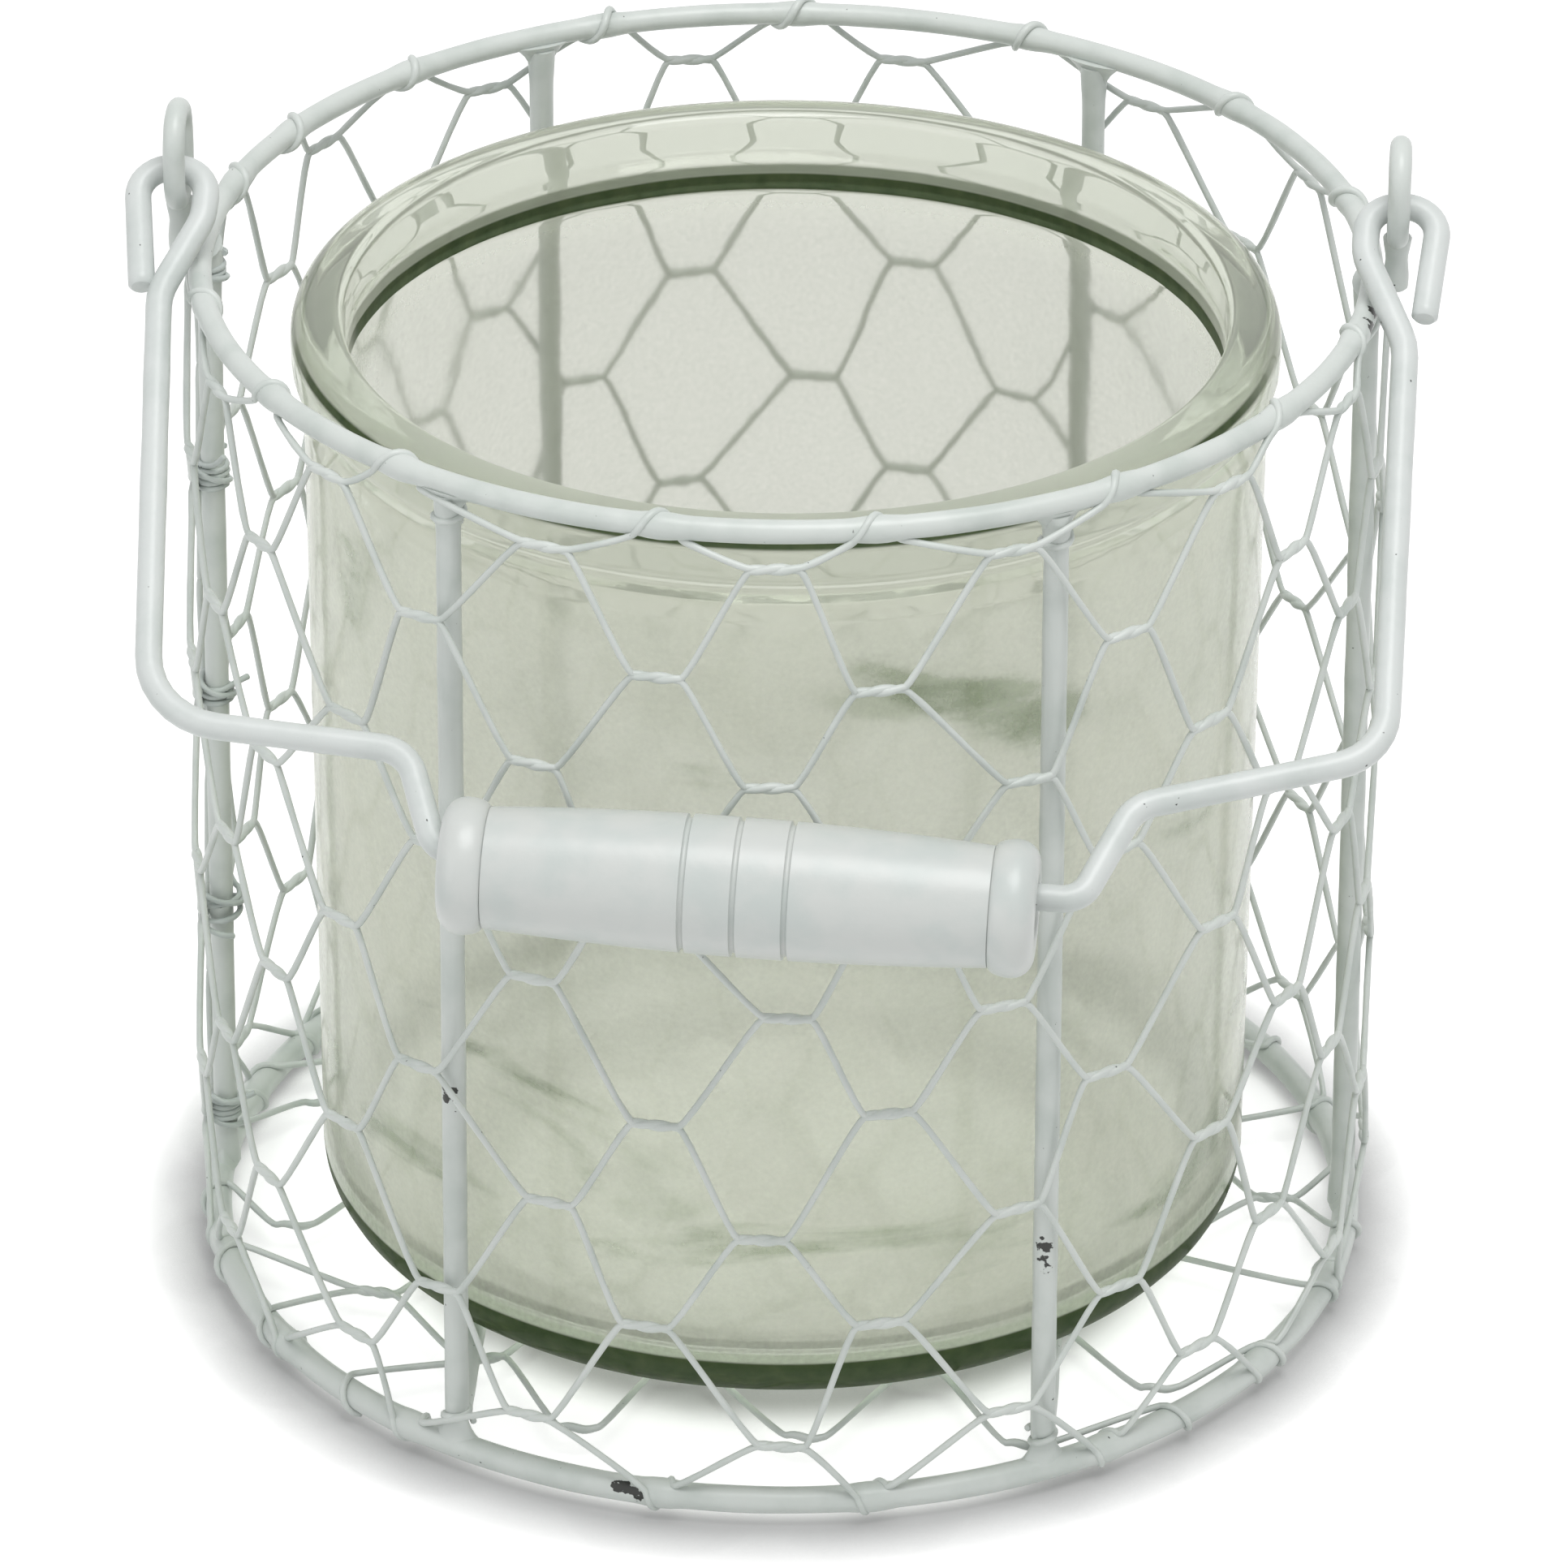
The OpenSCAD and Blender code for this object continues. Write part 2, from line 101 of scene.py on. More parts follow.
def polar(r: float, a: float, z: float) -> Vector:
    """Point at radius r, angle a in degrees and height z."""
    return Vector((r * math.cos(math.radians(a)), r * math.sin(math.radians(a)), z))


def mix(a: float, b: float, t: float) -> float:
    """Value a share t of the way from a to b."""
    return a + (b - a) * t


def uneven(key: float, size: float) -> float:
    """Repeatable unevenness of up to size either way."""
    return size * noise.noise(Vector((key * 1.37 + 0.31, 5.2 - key * 0.73, 2.9)))


@dataclass
class Wire:
    """Round wire: the points of its middle line and its radius at each."""

    points: list[Vector]
    radii: list[float]
    closed: bool = False

    @classmethod
    def plain(cls, points: Sequence[Vector], radius: float, closed: bool = False) -> "Wire":
        """Wire of one thickness, open with flat ends or closed."""
        return cls(list(points), [radius] * len(points), closed)

    @classmethod
    def even(cls, points: Sequence[Vector], radius: float) -> "Wire":
        """Open wire of one thickness with slightly rounded ends.

        Args:
            points: Middle line.
            radius: Half the wire's thickness.

        Returns:
            The wire, with a point added near each end for its rounding.
        """
        start, end = points[0], points[-1]
        first = (points[1] - start).normalized() * radius * END_ROUND
        last = (points[-2] - end).normalized() * radius * END_ROUND
        line = [start, start + first, *points[1:-1], end + last, end]
        tip = radius * (1 - END_ROUND)
        return cls(line, [tip, *[radius] * (len(line) - 2), tip])

    def swell(self, place: Vector, reach: float, size: float) -> None:
        """Thickens the wire near a place, as paint or weld does.

        Args:
            place: Middle of the thick stretch.
            reach: How far it goes either way.
            size: Radius added at the middle.
        """
        for i, point in enumerate(self.points):
            share = (point - place).length / reach
            if share < 1:
                self.radii[i] += size * (1 - share * share) ** 2

    def roughen(self, size: float, grain: float, key: float) -> None:
        """Varies the thickness along the wire, as brushed-on paint does.

        Args:
            size: Largest change of the radius.
            grain: Length of the lumps.
            key: Number that makes this wire unlike the others.
        """
        offset = Vector((key * 3.1, key * 1.7, key * 2.3))
        for i, point in enumerate(self.points):
            self.radii[i] += size * noise.noise(point / grain + offset)


def bent(corners: Sequence[Vector], bends: Sequence[float], step: float) -> list[Vector]:
    """Line through corner points, with each inner corner bent to a radius.

    Args:
        corners: The corner points.
        bends: Radius at each inner corner.
        step: Longest stretch between two points of the result.

    Returns:
        Points along the line.
    """
    line = [corners[0]]
    for before, corner, after, r in zip(corners, corners[1:], corners[2:], bends):
        a, b = (before - corner).normalized(), (after - corner).normalized()
        half = a.angle(b) / 2
        centre = corner + (a + b).normalized() * r / math.sin(half)
        start = (corner + a * r / math.tan(half) - centre).normalized()
        end = (corner + b * r / math.tan(half) - centre).normalized()
        steps = max(2, math.ceil(start.angle(end) / math.radians(12)))
        line += [centre + start.slerp(end, q / steps) * r for q in range(steps + 1)]
    line.append(corners[-1])
    return finer(line, step)


def finer(line: Sequence[Vector], step: float) -> list[Vector]:
    """The same line with points added where two lie further apart than step."""
    fine = [line[0]]
    for a, b in zip(line, line[1:]):
        count = max(1, math.ceil((b - a).length / step))
        fine += [a.lerp(b, q / count) for q in range(1, count + 1)]
    return fine


def coil(
    middle: Vector, along: Vector, start: Vector, radius: float, turns: float, steps: int
) -> list[Vector]:
    """Points of a helix.

    Args:
        middle: Middle of the helix on its axis.
        along: Its whole length as a vector.
        start: Unit vector from the axis to its first point.
        radius: Distance from the axis.
        turns: Number of turns, negative to wind the other way.
        steps: Stretches between points.

    Returns:
        The points, from the near end of along to the far end.
    """
    across = along.normalized().cross(start)
    points = []
    for q in range(steps + 1):
        a = 2 * math.pi * turns * q / steps
        out = start * math.cos(a) + across * math.sin(a)
        points.append(middle + along * (q / steps - 0.5) + out * radius)
    return points


def linked(runs: Sequence[Sequence[Vector]], pull: float, steps: int = 9) -> list[Vector]:
    """One line through several runs of points, with a smooth stretch from each to the next.

    Args:
        runs: The runs, in order.
        pull: How far a stretch keeps the direction of the run it leaves.
        steps: Stretches between points of each link.

    Returns:
        Points along the whole line.
    """
    line = list(runs[0])
    for before, after in zip(runs, runs[1:]):
        p, s = before[-1], after[0]
        q = p + (p - before[-2]).normalized() * pull
        r = s + (s - after[1]).normalized() * pull
        for k in range(1, steps):
            t = (1 - math.cos(math.pi * k / steps)) / 2
            u = 1 - t
            line.append(p * u**3 + q * 3 * u * u * t + r * 3 * u * t * t + s * t**3)
        line += after
    return line


def set_out(name: str, data: ID) -> Object:
    """Object in the scene that shows some data."""
    made = bpy.data.objects.new(name, data)
    bpy.context.scene.collection.objects.link(made)
    return made


def swept(name: str, wires: Sequence[Wire], sides: int) -> Mesh:
    """Mesh of round wires.

    Args:
        name: Name of the mesh.
        wires: The wires.
        sides: Faces round a wire, an even number.

    Returns:
        The mesh, in metres.
    """
    curve = bpy.data.curves.new(name, "CURVE")
    curve.dimensions = "3D"
    curve.bevel_depth = MM
    curve.bevel_resolution = sides // 2 - 2
    curve.use_fill_caps = True
    for wire in wires:
        spline = curve.splines.new("POLY")
        spline.points.add(len(wire.points) - 1)
        for point, place, radius in zip(spline.points, wire.points, wire.radii):
            point.co = (*(place * MM), 1.0)
            point.radius = radius
        spline.use_cyclic_u = wire.closed
    holder = set_out(name, curve)
    ready = holder.evaluated_get(bpy.context.evaluated_depsgraph_get())
    mesh = bpy.data.meshes.new_from_object(ready)
    bpy.data.objects.remove(holder)
    bpy.data.curves.remove(curve)
    return mesh


def turned(outline: Sequence[Vector], steps: int) -> BMesh:
    """Solid of revolution round Z, in millimetres.

    Args:
        outline: Points in the XZ plane.
        steps: Faces round the axis.

    Returns:
        The shape, closed, with its faces outwards.
    """
    shape = bmesh.new()
    points = [shape.verts.new(p) for p in outline]
    edges = [shape.edges.new(pair) for pair in zip(points, points[1:])]
    bmesh.ops.spin(
        shape, geom=points + edges, cent=(0, 0, 0), axis=UP, dvec=(0, 0, 0),
        angle=2 * math.pi, steps=steps, use_merge=True,
    )
    bmesh.ops.remove_doubles(shape, verts=shape.verts, dist=1e-4)
    bmesh.ops.recalc_face_normals(shape, faces=shape.faces)
    return shape


def piece(
    name: str,
    mesh: Mesh | BMesh,
    finishes: Sequence[Material],
    body: Body,
    nodes: Iterable[str] = (),
    sharp: float = 60.0,
) -> Object:
    """Makes a finished piece of a mesh and puts it on its body.

    Args:
        name: Name of the piece.
        mesh: Its mesh in metres, or its shape in millimetres.
        finishes: Materials of its slots.
        body: CAD body that it rides on.
        nodes: CAD nodes that it stands for.
        sharp: Angle in degrees from which an edge stays sharp.

    Returns:
        The piece.
    """
    if isinstance(mesh, BMesh):
        shape, mesh = mesh, bpy.data.meshes.new(name)
        bmesh.ops.scale(shape, vec=(MM, MM, MM), verts=shape.verts)
        shape.to_mesh(mesh)
        shape.free()
    mesh.name = name
    mesh.materials.clear()
    for finish in finishes:
        mesh.materials.append(finish)
    mesh.shade_smooth()
    mesh.set_sharp_from_angle(angle=math.radians(sharp))
    made = set_out(name, mesh)
    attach(made, body.value)
    if nodes:
        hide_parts(*nodes)
    log.info("%s: %d faces", name, len(mesh.polygons))
    return made


# ---- Finishes


def colour(code: str) -> tuple[float, float, float, float]:
    """Linear colour of an sRGB hex value such as E8ECEA."""
    parts = [int(code[i : i + 2], 16) / 255 for i in (0, 2, 4)]
    linear = [c / 12.92 if c <= 0.04045 else ((c + 0.055) / 1.055) ** 2.4 for c in parts]
    return (*linear, 1.0)


def feed(tree: NodeTree, socket: NodeSocket, value: object) -> None:
    """Links a socket, or the first output of a node, to an input, or sets the input to a value."""
    if isinstance(value, Node):
        value = value.outputs[0]
    if isinstance(value, NodeSocket):
        tree.links.new(value, socket)
    else:
        socket.default_value = value


def add(tree: NodeTree, kind: str, inputs: dict | None = None, **settings: object) -> Node:
    """Adds a node with its settings and what feeds it.

    Args:
        tree: Node tree.
        kind: Type of the node without its ShaderNode prefix.
        inputs: Values, sockets or nodes by the name or number of the input.
        settings: Attributes of the node.

    Returns:
        The node.
    """
    node = tree.nodes.new("ShaderNode" + kind)
    for key, value in settings.items():
        setattr(node, key, value)
    for key, value in (inputs or {}).items():
        feed(tree, node.inputs[key], value)
    return node


def new_material(name: str) -> tuple[Material, NodeTree]:
    """Empty node material and its tree."""
    material = bpy.data.materials.new(name)
    material.use_nodes = True
    material.node_tree.nodes.clear()
    return material, material.node_tree


def speckle(tree: NodeTree, size: float, detail: float = 2.0) -> Node:
    """Noise from 0 to 1 on Object coordinates.

    Args:
        tree: Node tree.
        size: Size of a blotch in millimetres.
        detail: Octaves of finer noise.

    Returns:
        The node.
    """
    where = add(tree, "TexCoord").outputs["Object"]
    return add(tree, "TexNoise", {"Vector": where, "Scale": 1 / (size * MM), "Detail": detail})


def ramp(tree: NodeTree, value: Source, low: float, high: float) -> Node:
    """Value from 0 at low to 1 at high, smooth and held outside."""
    ends = {"Value": value, "From Min": low, "From Max": high}
    return add(tree, "MapRange", ends, interpolation_type="SMOOTHSTEP")


def level(tree: NodeTree, share: Source, low: object, high: object) -> Node:
    """Number from low where share is 0 to high where it is 1."""
    return add(tree, "MapRange", {"Value": share, "To Min": low, "To Max": high})


def blend(tree: NodeTree, share: Source, a: object, b: object) -> NodeSocket:
    """Colour from a where share is 0 to b where it is 1, each a hex value or a source."""
    node = add(tree, "Mix", {"Factor": share}, data_type="RGBA")
    for socket, value in ((node.inputs[6], a), (node.inputs[7], b)):
        feed(tree, socket, colour(value) if isinstance(value, str) else value)
    return node.outputs[2]


def lumps(tree: NodeTree, size: float, detail: float, strength: float, depth: float) -> Node:
    """Bump of soft lumps, with their size and depth in millimetres."""
    height = speckle(tree, size, detail)
    return add(tree, "Bump", {"Height": height, "Strength": strength, "Distance": depth * MM})


def opaque(tree: NodeTree, tone: Source, roughness: float, bump: Source | None = None) -> None:
    """Ends a tree as an opaque surface with a thin skin of paint, varnish or oil.

    Args:
        tree: Node tree.
        tone: Colour.
        roughness: Roughness.
        bump: Bump, where the surface has one.
    """
    inputs = {"Base Color": tone, "Roughness": roughness, "IOR": SKIN_IOR}
    if bump is not None:
        inputs["Normal"] = bump
    add(tree, "OutputMaterial", {"Surface": add(tree, "BsdfPrincipled", inputs)})


@dataclass(frozen=True)
class Paint:
    """Oil paint brushed thickly on steel wire.

    It flows into a satin skin with soft lumps, greys a little where dust sits, and chips to
    dark steel where wires rub.
    """

    name: str
    white: str = "CDD2CE"
    grey: str = "BFC6C1"
    steel: str = "2A2C28"
    roughness: float = 0.36
    lump: float = 2.4
    chips: float = 0.76
    chip_pull: float = 0.42
    chip_grain: float = 1.1

    def material(self) -> Material:
        """The painted material."""
        material, tree = new_material(self.name)
        tone = blend(tree, ramp(tree, speckle(tree, 9.0, 4.0), 0.40, 0.75), self.white, self.grey)
        worn = add(tree, "Attribute", attribute_name="wear").outputs["Fac"]
        worn = add(tree, "Math", {0: worn, 1: self.chip_pull}, operation="MULTIPLY")
        chip = add(tree, "Math", {0: worn, 1: speckle(tree, self.chip_grain, 3.0)}, operation="ADD")
        bare = ramp(tree, chip, self.chips - 0.02, self.chips + 0.02)
        rim = {"Height": bare, "Strength": 0.5, "Distance": 0.1 * MM}
        rim["Normal"] = lumps(tree, self.lump, 3.0, 0.35, 0.25)
        tone = blend(tree, bare, tone, self.steel)
        opaque(tree, tone, self.roughness, add(tree, "Bump", rim, invert=True))
        return material


@dataclass(frozen=True)
class Enamel:
    """Satin paint on turned wood: smooth, with faint blotches and soft lumps."""

    name: str = "satin_painted_wood"
    white: str = "CACDCA"
    cool: str = "C2C8C5"
    roughness: float = 0.33

    def material(self) -> Material:
        """The painted material."""
        material, tree = new_material(self.name)
        tone = blend(tree, ramp(tree, speckle(tree, 7.0, 4.0), 0.38, 0.72), self.white, self.cool)
        opaque(tree, tone, self.roughness, lumps(tree, 1.8, 3.0, 0.25, 0.15))
        return material


@dataclass(frozen=True)
class Groove:
    """Finish of a turned groove: dark olive brown and dull."""

    name: str = "dark_groove_wood"
    dark: str = "3B3523"
    light: str = "6F6A52"
    roughness: float = 0.6

    def material(self) -> Material:
        """The worn material."""
        material, tree = new_material(self.name)
        tone = blend(tree, ramp(tree, speckle(tree, 1.6, 4.0), 0.42, 0.66), self.dark, self.light)
        opaque(tree, tone, self.roughness)
        return material


@dataclass(frozen=True)
class Band:
    """Stretch of the jar's height with painted dark green shade, where glass is seen edge on.

    Its middle and its reach either way are in millimetres. It lies outside a radius, and on the
    front (-1), on the back (1) or all round (0).
    """

    middle: float
    reach: float
    outside: float
    side: int


@dataclass(frozen=True)
class Glass:
    """Pressed bottle glass: pale green by its iron, with painted dark shade where seen edge on.

    Its walls ripple a little. Bands where it is looked through edge on are painted dark green, and
    its back half is tinted darker than its front; both are painted shade. A dull film of dust and
    lime lies on them, thickest in patches on the front, with clearer green streaks where water has
    run, and thin on the rim.
    """

    bands: Sequence[Band]
    name: str = "pressed_green_glass"
    clear_front: str = "F7F6F4"
    # Tint of the back half, darker than the front: painted shade.
    painted_shade_back: str = "D5D4CF"
    clear_rim: str = "ECEBE6"
    streak: str = "97A389"
    inside: str = "9ABC93"
    density: float = 26.0
    shade: str = "FAFBFA"
    film: str = "F6F6EC"
    film_back: float = 0.15
    film_front: float = 0.36
    film_patch: float = 0.52
    film_run: float = 0.16
    film_rim: float = 0.3
    film_grain: float = 0.1
    patch_size: float = 26.0
    run_size: float = 34.0
    rim_z: float = 133.0
    # Dark green of the bands seen edge on, and how much of the film it covers there: painted shade.
    edge: str = "2F4028"
    edge_shade_dark: str = "2F4429"
    edge_shade_pale: str = "66704F"
    edge_cover: float = 0.8
    roughness: float = 0.03
    haze: float = 0.12
    ior: float = 1.52

    def dirt(self, tree: NodeTree, where: Source, front: Source) -> tuple[Source, Source]:
        """Patches of film and streaks of run water on the front, each from 0 to 1."""
        found = []
        for turn, stretch, size, detail, twist, low, high in (
            ((0, 0, 0), (1.0, 1.0, 0.55), self.patch_size, 6.0, 1.6, 0.50, 0.66),
            ((0.3, 0.5, 0), (0.5, 1.0, 1.6), self.run_size, 7.0, 0.8, 0.58, 0.68),
        ):
            along = add(tree, "Mapping", {"Vector": where, "Rotation": turn, "Scale": stretch})
            spread = {"Vector": along, "Scale": 1 / (size * MM), "Detail": detail, "Distortion": twist}
            marks = ramp(tree, add(tree, "TexNoise", spread), low, high)
            found.append(add(tree, "Math", {0: marks, 1: front}, operation="MULTIPLY"))
        return found[0], found[1]

    def painted_shade_bands(self, tree: NodeTree, where: Source) -> Source:
        """Where the bands of painted dark shade lie, from 0 to 1."""
        part = add(tree, "SeparateXYZ", {0: where}).outputs
        flat = add(tree, "VectorMath", {0: where, 1: (1, 1, 0)}, operation="MULTIPLY")
        away = add(tree, "VectorMath", {0: flat}, operation="LENGTH").outputs["Value"]
        sides = {-1: ramp(tree, part["Y"], 0.01, -0.03), 1: ramp(tree, part["Y"], -0.012, 0.012)}
        dark = None
        for band in self.bands:
            off = add(tree, "Math", {0: part["Z"], 1: band.middle * MM}, operation="SUBTRACT")
            off = add(tree, "Math", {0: off}, operation="ABSOLUTE")
            near = ramp(tree, off, (band.reach + 0.3) * MM, (band.reach - 0.3) * MM)
            past = ramp(tree, away, (band.outside - 0.2) * MM, (band.outside + 0.2) * MM)
            near = add(tree, "Math", {0: near, 1: past}, operation="MULTIPLY")
            if band.side:
                near = add(tree, "Math", {0: near, 1: sides[band.side]}, operation="MULTIPLY")
            if dark is not None:
                near = add(tree, "Math", {0: dark, 1: near}, operation="MAXIMUM")
            dark = near
        return dark

    def material(self) -> Material:
        """The glass, which lets lamps through to what is behind it."""
        material, tree = new_material(self.name)
        where = add(tree, "TexCoord").outputs["Object"]
        part = add(tree, "SeparateXYZ", {0: where}).outputs
        front = ramp(tree, part["Y"], 0.06, -0.05)
        rim = ramp(tree, part["Z"], self.rim_z * MM, (self.rim_z + 10) * MM)
        patch, run = self.dirt(tree, where, front)
        dark = self.painted_shade_bands(tree, where)
        # The back half is tinted darker than the front, a painted shade; the rim has its own tint.
        tone = blend(tree, rim, blend(tree, front, self.painted_shade_back, self.clear_front), self.clear_rim)
        # Bands seen edge on take a dark green tint, a painted shade.
        tone = blend(tree, dark, blend(tree, run, tone, self.streak), self.edge)
        glass = add(
            tree, "BsdfPrincipled",
            {"Base Color": tone, "Roughness": level(tree, rim, self.haze, self.roughness),
             "IOR": self.ior, "Transmission Weight": 1.0, "Normal": lumps(tree, 11.0, 2.0, 0.3, 0.5)},
        )
        # In those bands the film is painted dark green in two mottled tones, a painted shade.
        edge = blend(tree, speckle(tree, 3.0, 4.0), self.edge_shade_dark, self.edge_shade_pale)
        coat = blend(tree, dark, self.film, edge)
        dull = add(tree, "BsdfDiffuse", {"Color": coat})
        through = add(tree, "BsdfTranslucent", {"Color": coat})
        dust = add(tree, "MixShader", {0: 0.5, 1: dull, 2: through})
        share = level(tree, front, self.film_back, self.film_front)
        for place, film in ((patch, self.film_patch), (run, self.film_run)):
            share = level(tree, place, share, film)
        grain = level(tree, speckle(tree, 0.9, 3.0), -self.film_grain, self.film_grain)
        share = add(tree, "Math", {0: share, 1: grain}, operation="ADD")
        # The painted dark film covers most of the glass in those bands.
        for place, film in ((rim, self.film_rim), (dark, self.edge_cover)):
            share = level(tree, place, share, film)
        wall = add(tree, "MixShader", {0: share, 1: glass, 2: dust})
        lamps = add(tree, "BsdfTransparent", {"Color": colour(self.shade)})
        ray = add(tree, "LightPath").outputs["Is Shadow Ray"]
        both = add(tree, "MixShader", {0: ray, 1: wall, 2: lamps})
        green = add(tree, "VolumeAbsorption", {"Color": colour(self.inside), "Density": self.density})
        add(tree, "OutputMaterial", {"Surface": both, "Volume": green})
        return material


# ---- Carrier


@dataclass(frozen=True)
class Hoop:
    """Round wire ring: radius to the middle of its wire, height and thickness."""

    r: float
    z: float
    wire: float

    @classmethod
    def of(cls, node: str) -> "Hoop":
        """The ring that a CAD node holds."""
        low, high = (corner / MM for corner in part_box(node))
        wire = high.z - low.z
        return cls(high.x - wire / 2, (low.z + high.z) / 2, wire)


@dataclass(frozen=True)
class Chip:
    """Place where the paint has chipped."""

    place: Vector
    reach: float


def mark_wear(mesh: Mesh, chips: Sequence[Chip]) -> None:
    """Writes how chipped each point is to the wear attribute.

    Args:
        mesh: Mesh of a painted piece.
        chips: The chipped places.
    """
    wear = mesh.attributes.new("wear", "FLOAT", "POINT")
    for vertex, mark in zip(mesh.vertices, wear.data):
        place = vertex.co / MM
        near = [1 - (place - chip.place).length / chip.reach for chip in chips]
        mark.value = min(1.0, max([0.0, *near]) * 2)


def painted(
    node: str,
    wires: Sequence[Wire],
    sides: int,
    paint: Material,
    chips: Sequence[Chip] = (),
    body: Body = Body.CARRIER,
    ending: str = "painted",
) -> None:
    """Makes the painted wires that stand for a CAD node.

    Args:
        node: The node.
        wires: Its wires.
        sides: Faces round a wire.
        paint: Material.
        chips: Places where the paint has chipped.
        body: CAD body that they ride on.
        ending: Last word of the piece's name.
    """
    name = f"{node}_{ending}"
    mesh = swept(name, wires, sides)
    mark_wear(mesh, chips)
    piece(name, mesh, [paint], body, [node])


@dataclass
class Carrier:
    """Welded frame of the carrier: two rings, two U rods, two posts and two ears."""

    paint: Material
    top: Hoop = field(default_factory=lambda: Hoop.of("top_ring"))
    base: Hoop = field(default_factory=lambda: Hoop.of("base_ring"))
    post_wire: float = 3.6
    post_inset: float = 0.6
    rod_bend: float = 4.0
    rod_angle: float = 60.0
    ear_wire: float = 3.2
    ear_hole: tuple[float, float] = (7.0, 10.4)
    ear_lift: float = 8.5
    lap: float = 0.1
    chips: list[Chip] = field(default_factory=list)

    @property
    def bar_z(self) -> float:
        """Height of the rods' bars under the jar."""
        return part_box("rod_left")[0].z / MM + self.post_wire / 2

    @property
    def ear_x(self) -> float:
        """Distance from the middle of the carrier to the middle of an ear's wire."""
        return self.top.r + (self.top.wire + self.ear_wire) / 2 + self.lap

    def post_r(self, z: float) -> float:
        """Radius at which the uprights stand at a height."""
        share = (z - self.base.z) / (self.top.z - self.base.z)
        return mix(self.base.r, self.top.r, share) - self.post_inset

    def ring(self, name: str, hoop: Hoop, bulges: Sequence[tuple[float, float, float]]) -> None:
        """Makes one ring.

        Args:
            name: Name of the piece and of its node.
            hoop: Its size.
            bulges: Angle, reach and size of each thick stretch.
        """
        count = 360
        points = [polar(hoop.r, 360 * q / count, hoop.z) for q in range(count)]
        wire = Wire.plain(points, hoop.wire / 2, closed=True)
        wire.roughen(0.07, 9.0, hoop.z)
        for a, reach, size in bulges:
            wire.swell(polar(hoop.r, a, hoop.z), reach, size)
        painted(name, [wire], 20, self.paint, self.chips)

    def rod(self, side: Side) -> None:
        """Makes a U rod: an upright, the bar under the jar and the other upright."""
        sign = side.value
        a = self.rod_angle
        foot = polar(self.post_r(self.base.z), a, self.bar_z)
        top = polar(self.post_r(self.top.z), a, self.top.z - self.top.wire / 2)
        ends = ((-1, top), (-1, foot), (1, foot), (1, top))
        corners = [Vector((sign * p.x, s * p.y, p.z)) for s, p in ends]
        wire = Wire.plain(bent(corners, [self.rod_bend] * 2, 2.0), self.post_wire / 2)
        wire.roughen(0.08, 7.0, sign * 1.9)
        for corner in (corners[0], corners[3]):
            wire.swell(corner, 7.0, 0.35)
        painted(f"rod_{side.name.lower()}", [wire], 16, self.paint, self.chips)

    def post(self, side: Side) -> None:
        """Makes the straight upright under an ear."""
        sign = side.value
        ends = [Vector((sign * self.post_r(z), 0, z)) for z in (self.base.z + 1.0, self.top.z - 1.2)]
        wire = Wire.plain(finer(ends, 2.0), self.post_wire / 2)
        wire.roughen(0.1, 6.0, sign * 4.3)
        for end in ends:
            wire.swell(end, 7.0, 0.4)
        painted(f"post_{side.name.lower()}", [wire], 16, self.paint, self.chips)

    def ear(self, side: Side) -> None:
        """Makes a wire eye with its shank on the outside of the top ring."""
        x = side.value * self.ear_x
        half_w, half_h = ((size + self.ear_wire) / 2 for size in self.ear_hole)
        middle = self.top.z + self.ear_lift + self.ear_hole[1] / 2
        flat = ((0, -1), (1, -1), (1, 1), (-1, 1), (-1, -1), (0, -1))
        corners = [Vector((x, y * half_w, middle + z * half_h)) for y, z in flat]
        loop = bent(corners, [half_w - 0.05] * 4, 1.0)
        eye = Wire.plain(loop[:-1], self.ear_wire / 2, closed=True)
        eye.roughen(0.08, 4.0, x)
        low = self.top.z - self.top.wire / 2
        shank = finer([Vector((x, 0, low)), Vector((x, 0, middle - half_h))], 0.8)
        stem = Wire.even(shank, self.ear_wire / 2)
        stem.swell(shank[-1], 4.0, 0.5)
        stem.swell(Vector((x, 0, self.top.z)), 3.5, 0.25)
        painted(f"ear_{side.name.lower()}", [eye, stem], 16, self.paint, self.chips)

    def fillet(self, shape: BMesh, place: Vector, height: float, reach: float, across: float) -> None:
        """Adds the flare of weld and paint where an upright meets a ring.

        Args:
            shape: Shape that the flare is added to.
            place: Where the upright's middle meets the ring's surface.
            height: Height of the flare, negative to flare downwards from above a ring.
            reach: Radius of the flare along the ring.
            across: Share of that radius across the ring.
        """
        neck = self.post_wire / 2 - 0.05
        curve = [q / 7 for q in range(8)]
        outline = [Vector((mix(neck, reach, t**3.2), 0, -height * (1 - t))) for t in curve]
        outline.append(Vector((0, 0, 0)))
        flare = turned(outline, 20)
        a = math.atan2(place.y, place.x)
        bmesh.ops.scale(flare, vec=(across, 1, 1), verts=flare.verts)
        bmesh.ops.rotate(flare, matrix=Matrix.Rotation(a, 3, "Z"), verts=flare.verts)
        bmesh.ops.translate(flare, vec=place, verts=flare.verts)
        held = bpy.data.meshes.new("flare")
        flare.to_mesh(held)
        flare.free()
        shape.from_mesh(held)
        bpy.data.meshes.remove(held)

